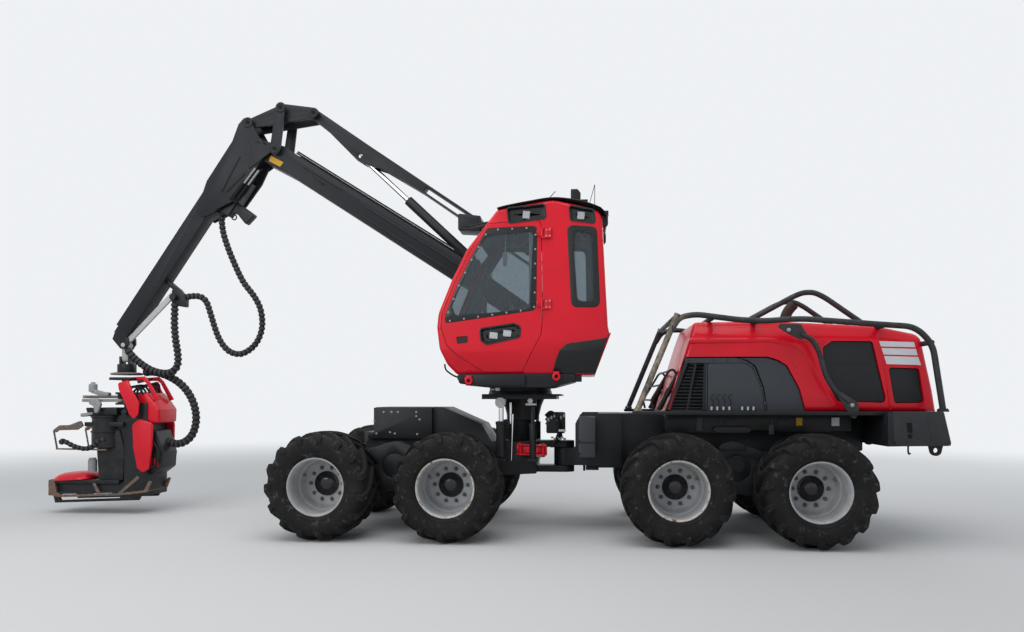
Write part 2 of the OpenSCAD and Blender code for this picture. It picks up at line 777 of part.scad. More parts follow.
module main_boom() {
    L = boom_len;
    outline = [
        [-100, -95], [300, -150], [L - 600, -105], [L - 180, -135], [L + 60, -90], [L + 90, 0],
        [L + 50, 80], [L - 100, 130], [L - 320, 190], [L - 600, 175], [1250, 178], [1180, 176],
        [1100, 142], [880, 142], [820, 157], [300, 130], [-90, 100]
    ];
    color(dark) {
        difference() {
            union() {
                crane_side(king, rise, -boom_half, boom_half) polygon(outline);
                for (y = [-85, 50]) crane_side(king, rise, y, y + 35)
                    polygon([[880, 130], [1120, 130], [1060, 216], [1000, 276], [940, 216]]);
            }
            crane_side(king, rise, boom_wall - boom_half, boom_half - boom_wall)
                polygon([[350, -135], [L - 600, -90], [L - 420, -95], [L - 420, 160],
                    [1250, 160], [1100, 126], [880, 126], [350, 105]]);
            crane_bar(king, king_pin_r + fit, -boom_half - 1, boom_half + 1);
            crane_bar(elbow, elbow_pin_r + fit, -boom_half - 1, boom_half + 1);
            crane_bar(reach_foot, link_pin_r + fit, -200, 200);
        }
        crane_bar(rocker_foot, link_pin_r, -rocker_out, rocker_out);
    }
}

strut_len = norm(strut_top - strut_foot);
strut_rise = 180 - angle_of(strut_foot, strut_top);
module strut() {
    L = strut_len;
    eye = 3310;
    h = strut_half;
    color(dark) difference() {
        union() {
            crane_side(strut_foot, strut_rise, -h, h) difference() {
                polygon([
                    [0, -70], [2300, -60], [2900, -95], [eye - 110, -180], [eye + 60, -185],
                    [L - 250, -80], [L, -65], [L + 60, 0], [L, 65], [eye, 60], [2400, 55], [0, 70]
                ]);
                polygon([[200, -45], [2300, -40], [2300, 30], [200, 45]]);
            }
            crane_bar(strut_foot, 80, -boom_half - 10, boom_half + 10);
        }
        // Slot for the rod's eye
        crane_side(strut_foot, strut_rise, -45, 45)
            polygon([[eye - 700, -300], [eye + 100, -300], [eye + 100, 10], [eye - 130, 10],
                [eye - 700, -50]]);
        crane_bar(strut_foot, 45 + fit, -boom_half - 11, boom_half + 11);
        crane_bar(reach_eye, link_pin_r + fit, -h - 1, h + 1);
    }
}

module rocker() {
    color(dark) difference() {
        for (y = [-rocker_out, rocker_in])
            side(crane_y + y, crane_y + y + rocker_out - rocker_in)
                polygon(belt([[rocker_foot, 75], [rocker_top, 65]]));
        crane_bar(rocker_foot, link_pin_r + fit, -rocker_out - 1, rocker_out + 1);
        crane_bar(rocker_top, link_pin_r + fit, -rocker_out - 1, rocker_out + 1);
    }
}

module link() {
    color(dark) {
        for (y = [-link_out, link_in]) side(crane_y + y, crane_y + y + link_out - link_in)
            polygon(belt([[link_end, 65], [strut_top, 70], [rocker_top, 85]]));
        side(crane_y - link_in - 1, crane_y + link_in + 1) polygon([
            rocker_top + [-70, 25], link_end + [60, 20], link_end + [75, -5], rocker_top + [-70, 0]
        ]);
        crane_bar(rocker_top, link_pin_r, -rocker_out, rocker_out);
    }
}

// An outline along the outer boom's box
module tube_side(y0, y1) {
    crane_side(elbow, tube_tilt, y0, y1) children();
}

module outer_boom() {
    top = tube_top;
    low = tube_top - outer_h;
    h = outer_half;
    w = boom_wall;
    color(dark) {
        difference() {
            union() {
                tube_side(-h, h) polygon([[430, low], [3190, low], [3190, top], [430, top]]);
                // Cheeks from the elbow down
                for (y = [-cheek_out, cheek_in]) tube_side(y, y + cheek_out - cheek_in) polygon([
                    [-60, -95], [60, -110], [420, -165], [800, -150], [1250, 115], [1250, 210],
                    [800, top - 5], [150, top], [-90, 395], [-200, 380], [-250, 300], [-200, 240],
                    [-110, 60]
                ]);
                for (y = [-cheek_in - 1, h - 1]) tube_side(y, y + cheek_in - h + 2)
                    polygon([[450, low], [1150, low + 30], [1150, top - 60], [450, top - 20]]);
                // Gusset below the box
                tube_side(-h, h) polygon([[430, low + 1], [480, -140], [800, -140], [1230, low + 1]]);
            }
            tube_side(w - h, h - w) polygon([[600, low + w], [3200, low + w], [3200, top - w],
                [600, top - w]]);
            crane_bar(elbow, elbow_pin_r, -cheek_out - 1, cheek_out + 1);
        }
        crane_bar(elbow, elbow_pin_r, -cheek_out, cheek_out);
        // Wear pads at the mouth
        tube_side(w - h - 1, h - w + 1) {
            polygon([[3040, top - w - 7 + seat], [3190, top - w - 7 + seat], [3190, top - w + 1],
                [3040, top - w + 1]]);
            polygon([[3040, low + w + 7 - seat], [3190, low + w + 7 - seat], [3190, low + w - 1],
                [3040, low + w - 1]]);
        }
    }
}

module extension() {
    top = tube_top - boom_wall - 7;
    low = tube_top - outer_h + boom_wall + 7;
    h = outer_half - boom_wall - 7;
    color(dark) difference() {
        union() {
            tube_side(-h, h) polygon([[760, low], [3300, low], [3300, top], [760, top]]);
            for (y = [-h, 60]) tube_side(y, y + h - 60) polygon([
                [3250, low - 30], [tip_a - 60, tip_drop + tube_mid - 60],
                [tip_a + 30, tip_drop + tube_mid - 60], [tip_a + 65, tip_drop + tube_mid],
                [tip_a + 20, tube_mid + 60], [3250, top]
            ]);
        }
        tube_side(10 - h, h - 10) polygon([[750, low + 10], [3200, low + 10], [3200, top - 10],
            [750, top - 10]]);
        crane_bar(tip, 30 + fit, -200, 200);
    }
}

cyl_rise = 180 - angle_of(reach_foot, reach_eye);
cyl_len = norm(reach_eye - reach_foot);
barrel_len = 1290;
// A round bar along the reach cylinder, from a0 to a1
module reach_round(r, a0, a1) {
    translate([reach_foot[0], crane_y, reach_foot[1]]) rotate([0, 270 + cyl_rise, 0])
        translate([0, 0, a0]) cylinder(r = r, h = a1 - a0);
}

module reach_barrel() {
    color(dark) {
        difference() {
            union() {
                reach_round(barrel_r, 75, barrel_len);
                crane_bar(reach_foot, 62, -45, 45);
                reach_round(45, 30, 90);
            }
            reach_round(barrel_r - 12, 110, barrel_len - 60);
            reach_round(rod_r + fit, 100, barrel_len + 1);
            crane_bar(reach_foot, link_pin_r, -46, 46);
        }
        crane_bar(reach_foot, link_pin_r, -85, 85);
    }
}

module reach_rod() {
    color(steel) difference() {
        union() {
            reach_round(rod_r, 560, cyl_len - 40);
            crane_bar(reach_eye, 55, -40, 40);
        }
        crane_bar(reach_eye, link_pin_r, -41, 41);
    }
}

lift_turn = angle_of(lift_foot, lift_eye);
lift_len = norm(lift_eye - lift_foot);
module lift_round(r, a0, a1) {
    translate([lift_foot[0], crane_y, lift_foot[1]]) rotate([0, 90 - lift_turn, 0])
        translate([0, 0, a0]) cylinder(r = r, h = a1 - a0);
}

module lift_barrel() {
    color(dark) {
        difference() {
            union() {
                lift_round(80, 85, 428);
                lift_round(42, 20, 100);
                crane_bar(lift_foot, 55, -45, 45);
            }
            lift_round(68, 97, 380);
            lift_round(45 + fit, 90, 429);
            crane_bar(lift_foot, link_pin_r, -46, 46);
        }
        crane_bar(lift_foot, link_pin_r, -90, 90);
    }
}

module lift_rod() {
    color(steel) difference() {
        union() {
            lift_round(45, 168, lift_len - 40);
            crane_bar(lift_eye, 55, -50, 50);
        }
        crane_bar(lift_eye, link_pin_r, -51, 51);
    }
}

// Head

swing_z = tip[1] - 190;
rotor_z = tip[1] - 380;
axis_x = tip[0];

module tip_link() {
    color(steel) {
        difference() {
            union() {
                crane_bar(tip, 60, -55, 55);
                translate([axis_x - 45, crane_y - 50, swing_z - 10]) cube([90, 100, 150]);
                translate([axis_x - 45, crane_y, swing_z]) rotate([0, 90, 0]) cylinder(r = 50, h = 90);
            }
            translate([axis_x - 50, crane_y, swing_z]) rotate([0, 90, 0])
                cylinder(r = 28 + fit, h = 100);
        }
        crane_bar(tip, 30, -100, 100);
    }
}

module rotator() {
    color(dark) {
        for (x = [-80, 50]) translate([axis_x + x, crane_y - 60, rotor_z + 90]) cube([30, 120, 130]);
        translate([axis_x - 80, crane_y, swing_z]) rotate([0, 90, 0]) cylinder(r = 28, h = 160);
        difference() {
            translate([axis_x, crane_y, rotor_z]) cylinder(r = 125, h = 110);
            translate([axis_x, crane_y, rotor_z - 1]) cylinder(r = 60 + fit, h = 80);
        }
    }
}

tilt = [axis_x + tilt_back, tilt_z];
arm_in = head_half + 80;
module head_bracket() {
    color(red) difference() {
        union() {
            translate([axis_x, crane_y, rotor_z - gap - 30]) cylinder(r = 125, h = 30);
            translate([axis_x - 115, crane_y - arm_in - 40, rotor_z - gap - 90])
                cube([125, 2 * arm_in + 80, 65]);
            for (y = [-arm_in - 40, arm_in]) side(crane_y + y, crane_y + y + 40) polygon([
                [axis_x - 115, rotor_z - 30], [axis_x - 60, rotor_z - 200], tilt + [-80, 60],
                tilt + [-75, -30], tilt + [-30, -80], tilt + [30, -80], tilt + [75, -30],
                tilt + [90, 200], [axis_x + 265, rotor_z - 100], [axis_x + 200, rotor_z - 30]
            ]);
        }
        bar(tilt, 40 + fit, crane_y - arm_in - 50, crane_y + arm_in + 50);
    }
    color(red) translate([axis_x, crane_y, rotor_z - gap - 10]) cylinder(r = 60, h = 80);
}

module head_frame() {
    x = axis_x;
    color(dark) {
        // Spine
        translate([x + 120, crane_y - head_half, 260]) cube([330, 2 * head_half, 1290]);
        bar(tilt, 40, crane_y - arm_in - 40, crane_y + arm_in + 40);
        // Saw box and shoe rails
        translate([x - 920, crane_y - 230, 300]) cube([1045, 300, 150]);
        for (y = [-260, 220]) side(crane_y + y, crane_y + y + 40) difference() {
            polygon([[x - 900, 150], [x + 330, 200], [x + 450, 420], [x + 120, 470], [x + 60, 330],
                [x - 940, 300]]);
            polygon([[x - 820, 185], [x + 60, 225], [x + 60, 300], [x - 860, 270]]);
        }
        // Lugs and pins of the knives
        for (y = [-1, 1]) {
            for (z = [1520, 1665]) translate([x + knife_pin[0], crane_y + y * knife_pin[1], z])
                cylinder(r = 62, h = 30);
            translate([x + knife_pin[0], crane_y + y * knife_pin[1], 1525])
                cylinder(r = 35, h = 160);
            for (z = [1520, 1665]) translate([x + knife_pin[0], crane_y + y * 235 - 55, z])
                cube([120, 110, 30]);
        }
        translate([x + 150, crane_y - head_half, 1520]) cube([60, 2 * head_half, 175]);
        // Roller arms
        for (s = [-1, 1]) translate([x - 420, crane_y + s * 290 - 30, 1220]) cube([560, 60, 60]);
    }
}

module head_covers() {
    x = axis_x;
    color(red) {
        side(crane_y - head_half - 30, crane_y + head_half + 30) difference() {
            polygon([
                [x + 300, 700], [x + 370, 620], [x + 490, 760], [x + 560, 1240], [x + 700, 1330],
                [x + 700, 1450], [x + 600, 1600], [x + 452, 1640], [x + 452, 900], [x + 300, 900]
            ]);
            polygon([[x + 119, 259], [x + 450.5, 259], [x + 450.5, 1550.5], [x + 119, 1550.5]]);
        }
        translate([x - 900, crane_y - 225, 450.5]) cube([600, 290, 60]);
    }
}

module head_rollers() {
    x = axis_x;
    color(steel) for (s = [-1, 1])
        translate([x - 310, crane_y + s * 290, 1000]) difference() {
            cylinder(r = roller_r, h = 219.7, $fn = 48);
            translate([0, 0, -1]) cylinder(r = roller_r - 60, h = 120);
        }
}

// Delimbing knife on one side, on its pin of the head
knife_pin = [50, 235];
knife_t = 42;
module knife(s) {
    c = [-275, 0];
    r = 335;
    a0 = 58;
    inner = [for (a = [a0 : 13 : 201]) c + (r - 42) * [cos(a), sin(a)]];
    outer = [for (a = [201 : -13 : a0]) c + r * [cos(a), sin(a)]];
    color(steel) translate([axis_x, crane_y, s > 0 ? 1610 : 1560]) scale([1, s, 1]) difference() {
        union() {
            linear_extrude(knife_t)
                polygon(concat(inner, outer, [knife_pin + [8, 50], knife_pin + [-16, -50]]));
            translate(knife_pin) cylinder(r = 60, h = knife_t);
        }
        translate([knife_pin[0], knife_pin[1], -1]) cylinder(r = 35 + fit, h = knife_t + 2);
    }
}

front_frame();
level_platform();
level_cylinders();
lock_link();
bogie(front_x, -1);  // bogie_fl
bogie(front_x, 1);  // bogie_fr
bogie(rear_x, -1);  // bogie_rl
bogie(rear_x, 1);  // bogie_rr
for (i = [0 : 3]) {
    at_wheel(i, -1) rim();
    at_wheel(i, 1) rim();
    at_wheel(i, -1) tyre();
    at_wheel(i, 1) mirror([0, 1, 0]) tyre();
}
middle_joint();
rear_frame();
side_boxes();
rear_tanks();
engine();
hood();
hood_panels();
hood_grilles();
guard();
exhaust();
turntable();
cab_shell();
cab_glass();
cab_seat();
cab_lamps();
cab_door();
door_glass();
lever();
main_boom();
strut();
rocker();
link();
outer_boom();
extension();
reach_barrel();
reach_rod();
lift_barrel();
lift_rod();
tip_link();
rotator();
head_bracket();
head_frame();
head_covers();
head_rollers();
knife(-1);  // knife_l
knife(1);  // knife_r
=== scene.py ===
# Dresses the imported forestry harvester: finishes for every CAD node, rounded copies of
# the sheet-metal pieces, tyres with worn lugs, cab fittings, hoses, bolts and lamps.
# Metres, X to the rear, the left side of the machine at -Y, Z up from the ground.
import json
from math import cos, pi, radians, sin, tan

import bmesh
import bpy
import numpy as np
from mathutils import Matrix, Vector
from mathutils.bvhtree import BVHTree


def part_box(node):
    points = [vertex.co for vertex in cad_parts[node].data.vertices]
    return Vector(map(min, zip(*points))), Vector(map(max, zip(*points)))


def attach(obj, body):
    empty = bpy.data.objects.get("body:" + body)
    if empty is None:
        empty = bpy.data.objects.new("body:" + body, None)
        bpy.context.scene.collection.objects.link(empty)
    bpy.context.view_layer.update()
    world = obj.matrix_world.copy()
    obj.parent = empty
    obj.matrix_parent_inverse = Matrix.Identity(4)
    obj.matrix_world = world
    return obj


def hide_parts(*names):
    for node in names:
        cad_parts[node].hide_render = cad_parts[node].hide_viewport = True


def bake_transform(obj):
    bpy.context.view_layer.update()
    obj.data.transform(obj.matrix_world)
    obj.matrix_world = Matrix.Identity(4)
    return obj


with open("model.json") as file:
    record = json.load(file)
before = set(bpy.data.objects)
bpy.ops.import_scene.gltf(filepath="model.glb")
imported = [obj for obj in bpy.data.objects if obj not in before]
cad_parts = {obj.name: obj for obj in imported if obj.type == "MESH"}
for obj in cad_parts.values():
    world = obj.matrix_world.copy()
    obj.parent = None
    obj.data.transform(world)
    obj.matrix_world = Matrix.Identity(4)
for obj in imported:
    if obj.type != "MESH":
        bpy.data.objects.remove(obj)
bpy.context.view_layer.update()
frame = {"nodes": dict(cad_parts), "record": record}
NODES = frame["nodes"]
BODY_OF = {n: b for b, ns in frame["record"]["behaviour"]["bodies"].items() for n in ns}


def middle(node):
    """Middle of a CAD node's box."""
    low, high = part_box(node)
    return (Vector(low) + Vector(high)) / 2


# Driving places, read from the frame
WHEELS = [f"{side}{i}" for side in "lr" for i in (1, 2, 3, 4)]
STEER_X = sum(middle(f"rim_l{i}").x for i in (1, 2, 3, 4)) / 4
CAB_BODY, DOOR_BODY = BODY_OF["cab_shell"], BODY_OF["cab_door"]


# Camera and light

BACKDROP = (0.86, 0.88, 0.90)
SKY, SKY_STRENGTH = (0.80, 0.86, 0.95, 1), 0.5
# Camera fitted to the photograph by the eight wheels
SENSOR_MM, LENS_MM, SHIFT_UP = 36.0, 27.17, 0.0799
CAMERA_PLACE = (STEER_X + 0.2901, -9.8036, 1.6165)
CAMERA_TURN = (pi / 2, 0.0, 0.0968)
# Lamps: place, aim, size and power
LAMPS = {"overhead": ((-1, -3, 12), (0, 0, 1), (14, 10), 900),
         "left_front": ((-6, -11, 6), (0, 0, 1.5), (7, 5), 420),
         "right_back": ((7, 10, 7), (0, 0, 1.5), (8, 5), 300)}
# Pale floor: half its width, and the distances between which it fades into the backdrop
FLOOR_REACH, FLOOR_COLOUR = 60.0, (0.60, 0.60, 0.59, 1)
FADE_FROM, FADE_TO = 6.0, 22.0


def in_scene(name, data):
    """A new object in the scene with the data."""
    obj = bpy.data.objects.new(name, data)
    bpy.context.scene.collection.objects.link(obj)
    return obj


def set_camera():
    data = bpy.data.cameras.new("view")
    data.sensor_width, data.lens, data.shift_y = SENSOR_MM, LENS_MM, SHIFT_UP
    data.clip_end = 200.0
    camera = in_scene("view", data)
    camera.location, camera.rotation_euler = CAMERA_PLACE, CAMERA_TURN
    bpy.context.scene.camera = camera


def set_light():
    """A pale studio: even world light, one broad lamp above, one from the left and one behind."""
    scene = bpy.context.scene
    scene.view_settings.view_transform = "Standard"
    world = bpy.data.worlds.new("studio")
    scene.world = world
    world.use_nodes = True
    nodes, links = world.node_tree.nodes, world.node_tree.links
    sky = nodes["Background"]
    sky.inputs["Color"].default_value = SKY
    sky.inputs["Strength"].default_value = SKY_STRENGTH
    backdrop = nodes.new("ShaderNodeBackground")
    backdrop.inputs["Color"].default_value = (*BACKDROP, 1)
    path = nodes.new("ShaderNodeLightPath")
    mix = nodes.new("ShaderNodeMixShader")
    # The camera, metal and glass see the backdrop, all else is lit by the sky
    seen = path.outputs["Is Camera Ray"]
    for ray in ("Is Glossy Ray", "Is Transmission Ray"):
        add = nodes.new("ShaderNodeMath")
        add.operation, add.use_clamp = "ADD", True
        links.new(seen, add.inputs[0])
        links.new(path.outputs[ray], add.inputs[1])
        seen = add.outputs[0]
    links.new(seen, mix.inputs["Fac"])
    links.new(sky.outputs[0], mix.inputs[1])
    links.new(backdrop.outputs[0], mix.inputs[2])
    links.new(mix.outputs[0], nodes["World Output"].inputs["Surface"])
    for name, (place, aim, size, power) in LAMPS.items():
        data = bpy.data.lights.new(name, "AREA")
        data.shape = "RECTANGLE"
        data.size, data.size_y = size
        data.energy = power
        lamp = in_scene(name, data)
        lamp.location = place
        lamp.rotation_euler = (Vector(aim) - Vector(place)).to_track_quat("-Z", "Y").to_euler()


def floor_piece():
    """Pale floor, kept wide so that no edge shows."""
    mesh = bpy.data.meshes.new("floor")
    r = FLOOR_REACH
    mesh.from_pydata([(-r, -r, 0), (r, -r, 0), (r, r, 0), (-r, r, 0)], [], [(0, 1, 2, 3)])
    mat = bpy.data.materials.new("pale_floor")
    mat.use_nodes = True
    shader = mat.node_tree.nodes["Principled BSDF"]
    shader.inputs["Base Color"].default_value = FLOOR_COLOUR
    shader.inputs["Roughness"].default_value = 0.9
    # Far from the machine the floor turns into the backdrop
    nodes, links = mat.node_tree.nodes, mat.node_tree.links
    place = nodes.new("ShaderNodeTexCoord")
    far = nodes.new("ShaderNodeVectorMath")
    far.operation = "LENGTH"
    links.new(place.outputs["Object"], far.inputs[0])
    fade = nodes.new("ShaderNodeMapRange")
    fade.interpolation_type = "SMOOTHSTEP"
    fade.inputs["From Min"].default_value = FADE_FROM
    fade.inputs["From Max"].default_value = FADE_TO
    links.new(far.outputs["Value"], fade.inputs["Value"])
    glow = nodes.new("ShaderNodeEmission")
    glow.inputs["Color"].default_value = (*BACKDROP, 1)
    mix = nodes.new("ShaderNodeMixShader")
    links.new(fade.outputs["Result"], mix.inputs["Fac"])
    links.new(shader.outputs[0], mix.inputs[1])
    links.new(glow.outputs[0], mix.inputs[2])
    links.new(mix.outputs[0], nodes["Material Output"].inputs["Surface"])
    mesh.materials.append(mat)
    in_scene("floor", mesh)


# Finishes

class Finish:
    """A material built from noises on Object coordinates."""

    def __init__(self, name, rough, metal=0.0, coat=0.0, coat_rough=0.1, specular=0.5):
        self.mat = bpy.data.materials.new(name)
        self.mat.use_nodes = True
        self.nodes, self.links = self.mat.node_tree.nodes, self.mat.node_tree.links
        self.shader = self.nodes["Principled BSDF"]
        self.shader.inputs["Roughness"].default_value = rough
        self.shader.inputs["Metallic"].default_value = metal
        self.shader.inputs["Coat Weight"].default_value = coat
        self.shader.inputs["Coat Roughness"].default_value = coat_rough
        self.shader.inputs["Specular IOR Level"].default_value = specular
        self.place = self.nodes.new("ShaderNodeTexCoord").outputs["Object"]
        self.colour = None

    def noise(self, scale, detail=4.0, rough=0.55, stretch=(1, 1, 1)):
        place = self.place
        if stretch != (1, 1, 1):
            mapping = self.nodes.new("ShaderNodeMapping")
            mapping.inputs["Scale"].default_value = stretch
            self.links.new(place, mapping.inputs["Vector"])
            place = mapping.outputs["Vector"]
        node = self.nodes.new("ShaderNodeTexNoise")
        node.inputs["Scale"].default_value = scale
        node.inputs["Detail"].default_value = detail
        node.inputs["Roughness"].default_value = rough
        self.links.new(place, node.inputs["Vector"])
        return node.outputs["Fac"]

    def ramp(self, value, low, high, top=1.0, base=0.0):
        """Value mapped from low..high to base..top, clamped."""
        node = self.nodes.new("ShaderNodeMapRange")
        self.links.new(value, node.inputs["Value"])
        node.inputs["From Min"].default_value = low
        node.inputs["From Max"].default_value = high
        node.inputs["To Min"].default_value = base
        node.inputs["To Max"].default_value = top
        return node.outputs["Result"]

    def math(self, kind, a, b):
        node = self.nodes.new("ShaderNodeMath")
        node.operation = kind
        node.use_clamp = True
        for socket, value in zip(node.inputs, (a, b)):
            if isinstance(value, (int, float)):
                socket.default_value = value
            else:
                self.links.new(value, socket)
        return node.outputs[0]

    def axis(self, letter, source=None):
        node = self.nodes.new("ShaderNodeSeparateXYZ")
        self.links.new(source or self.place, node.inputs[0])
        return node.outputs[letter]

    def facing(self, letter="Z"):
        return self.axis(letter, self.nodes.new("ShaderNodeNewGeometry").outputs["Normal"])

    def base(self, colour):
        node = self.nodes.new("ShaderNodeRGB")
        node.outputs[0].default_value = (*colour, 1)
        self.colour = node.outputs[0]
        return self

    def over(self, mask, colour):
        """Lays a colour over the last one where mask is high."""
        node = self.nodes.new("ShaderNodeMix")
        node.data_type = "RGBA"
        self.links.new(mask, node.inputs["Factor"])
        self.links.new(self.colour, node.inputs["A"])
        node.inputs["B"].default_value = (*colour, 1)
        self.colour = node.outputs["Result"]
        return self

    def rough_by(self, mask, low, high):
        self.links.new(self.ramp(mask, 0.0, 1.0, high, low), self.shader.inputs["Roughness"])
        return self

    def bump(self, height, strength, distance):
        node = self.nodes.new("ShaderNodeBump")
        node.inputs["Strength"].default_value = strength
        node.inputs["Distance"].default_value = distance
        self.links.new(height, node.inputs["Height"])
        self.links.new(node.outputs["Normal"], self.shader.inputs["Normal"])
        return self

    def done(self):
        self.links.new(self.colour, self.shader.inputs["Base Color"])
        return self.mat


def painted(name, colour, dust, rough=0.35, coat=0.0, dust_colour=(0.10, 0.085, 0.07), shade=0.75):
    """Sprayed paint: slight unevenness, a dust film low down and on ledges, fine scuffs."""
    f = Finish(name, rough, coat=coat, specular=0.25)
    cloud = f.noise(1.7, 5.0)
    dark = tuple(c * shade for c in colour)
    f.base(colour).over(f.ramp(cloud, 0.35, 0.75, 0.6), dark)
    grains = f.noise(9.0, 6.0, 0.65)
    low = f.ramp(f.axis("Z"), 2.2, 0.3)
    ledge = f.ramp(f.facing(), 0.4, 1.0, 0.8)
    film = f.math("MULTIPLY", f.ramp(grains, 0.42, 0.72, dust), f.math("MAXIMUM", low, ledge))
    f.over(film, dust_colour)
    scuff = f.ramp(f.noise(26.0, 8.0, 0.8, (1.0, 1.0, 0.25)), 0.66, 0.74, 0.35 * min(1.0, dust + 0.3))
    f.over(scuff, tuple(min(1.0, c * 1.4 + 0.05) for c in colour))
    f.rough_by(f.math("ADD", film, f.ramp(grains, 0.3, 0.8, 0.25)), rough, min(1.0, rough + 0.4))
    f.bump(f.noise(220.0, 2.0), 0.06, 0.002)
    return f.done()


def rusted(name):
    """Dark cast iron with flaking rust, strongest round the lip."""
    f = Finish(name, 0.75)
    big, fine = f.noise(5.0, 8.0, 0.7), f.noise(38.0, 6.0, 0.7)
    f.base((0.10, 0.095, 0.09)).over(f.ramp(big, 0.40, 0.58), (0.17, 0.075, 0.035))
    f.over(f.ramp(fine, 0.52, 0.66, 0.8), (0.30, 0.27, 0.24))
    f.over(f.ramp(f.noise(90.0, 4.0), 0.58, 0.70, 0.7), (0.07, 0.035, 0.02))
    f.rough_by(fine, 0.55, 0.95)
    f.bump(fine, 0.4, 0.004)
    return f.done()


def scraped(name):
    """Black rail paint, rubbed to a sandy film on the leg beside the cab."""
    f = Finish(name, 0.45)
    leg = f.ramp(f.axis("X"), STEER_X + 1.45, STEER_X + 1.2)
    left = f.ramp(f.axis("Y"), -0.85, -0.95)
    rub = f.ramp(f.noise(14.0, 8.0, 0.75, (1.0, 1.0, 0.5)), 0.40, 0.60)
    f.base((0.014, 0.015, 0.017)).over(f.ramp(f.noise(2.5), 0.4, 0.7, 0.5), (0.030, 0.031, 0.034))
    f.over(f.math("MULTIPLY", f.math("MULTIPLY", leg, left), rub), (0.34, 0.27, 0.19))
    f.over(f.ramp(f.noise(30.0, 8.0, 0.8), 0.64, 0.74, 0.5), (0.10, 0.095, 0.09))
    f.rough_by(rub, 0.4, 0.8)
    f.bump(f.noise(120.0, 4.0), 0.1, 0.002)
    return f.done()


# Paints, plastics and plain metals: colour, dust, roughness, then coat, dust colour and shade
PAINTS = {
    "red_paint": ((0.70, 0.003, 0.018), 0.03, 0.28, 0.2, (0.25, 0.04, 0.035)),
    "dark_paint": ((0.0125, 0.0140, 0.0175), 0.20, 0.40, 0.0, (0.06, 0.055, 0.05)),
    "cylinder_paint": ((0.014, 0.015, 0.017), 0.35, 0.36),
    "grey_paint": ((0.036, 0.039, 0.044), 0.35, 0.45),
    "grille_paint": ((0.020, 0.022, 0.025), 0.4, 0.5),
    "engine_iron": ((0.10, 0.10, 0.10), 0.6, 0.6),
    "exhaust_steel": ((0.05, 0.035, 0.03), 0.7, 0.6),
    "rim_paint": ((0.46, 0.47, 0.48), 0.45, 0.4, 0.0, (0.22, 0.17, 0.12), 0.85),
    "tip_steel": ((0.36, 0.33, 0.29), 0.9, 0.55, 0.0, (0.12, 0.06, 0.03)),
    "roller_steel": ((0.05, 0.05, 0.05), 0.7, 0.5),
    "knife_steel": ((0.30, 0.28, 0.25), 0.8, 0.4, 0.0, (0.16, 0.07, 0.03)),
    "satin_black": ((0.012, 0.013, 0.015), 0.3, 0.38),
    "gloss_black": ((0.010, 0.010, 0.012), 0.12, 0.16, 0.5),
    "frit_black": ((0.010, 0.011, 0.012), 0.12, 0.30, 0.2),
    "vent_black": ((0.016, 0.018, 0.021), 0.3, 0.34),
    "bay_grey": ((0.050, 0.056, 0.064), 0.3, 0.42),
    "bumper_grey": ((0.030, 0.032, 0.036), 0.35, 0.45),
    "trim_grey": ((0.085, 0.09, 0.10), 0.1, 0.7),
    "trim_pale": ((0.42, 0.45, 0.50), 0.1, 0.6),
    "white_paint": ((0.72, 0.74, 0.77), 0.15, 0.35, 0.2, (0.35, 0.33, 0.30)),
    "white_plastic": ((0.62, 0.64, 0.64), 0.3, 0.5, 0.0, (0.25, 0.22, 0.18)),
    "yellow": ((0.62, 0.36, 0.02), 0.35, 0.45, 0.0, (0.25, 0.17, 0.08)),
    "worn_white": ((0.52, 0.52, 0.50), 1.0, 0.5, 0.0, (0.10, 0.055, 0.03), 0.7),
    "silver": ((0.32, 0.33, 0.34), 0.6, 0.35, 0.0, (0.12, 0.09, 0.06)),
    "zinc": ((0.38, 0.38, 0.37), 0.4, 0.35, 0.0, (0.15, 0.12, 0.09)),
    "worn_steel": ((0.16, 0.155, 0.15), 0.7, 0.4, 0.0, (0.10, 0.06, 0.04)),
    "pale_rubber": ((0.28, 0.28, 0.27), 0.4, 0.6),
    "rubber": ((0.010, 0.010, 0.011), 0.3, 0.6, 0.0, (0.05, 0.045, 0.04)),
    "hose_band": ((0.040, 0.042, 0.045), 0.4, 0.6),
    "red_plastic": ((0.50, 0.012, 0.014), 0.3, 0.4, 0.0, (0.15, 0.05, 0.04)),
    # Near-black for painted shade: sheets, discs and rods put where openings, holes, slots and recesses show
    # only shade
    "inside": ((0.005, 0.005, 0.006), 0.1, 0.8),
}


def chipped_rim():
    """Rim paint, chipped and rusted along the outer lip."""
    chip = Finish("chipped_rim", 0.42, specular=0.3)
    across = chip.ramp(chip.axis("Y"), -2.0, 2.0, 1.0, -1.0)
    lip = (abs(middle("rim_l2").y) + 0.285) / 2
    edge = chip.ramp(chip.math("MULTIPLY", across, across), lip * lip - 0.003, lip * lip + 0.003)
    chip.base((0.40, 0.41, 0.42)).over(chip.ramp(chip.noise(9.0, 6.0, 0.65), 0.5, 0.8, 0.5),
                                       (0.24, 0.22, 0.19))
    chip.over(chip.math("MULTIPLY", edge, chip.ramp(chip.noise(22.0, 8.0, 0.75), 0.40, 0.50, 0.9)),
              (0.62, 0.58, 0.50))
    chip.over(chip.math("MULTIPLY", edge, chip.ramp(chip.noise(16.0, 8.0, 0.75), 0.54, 0.60)),
              (0.16, 0.065, 0.03))
    return chip.done()


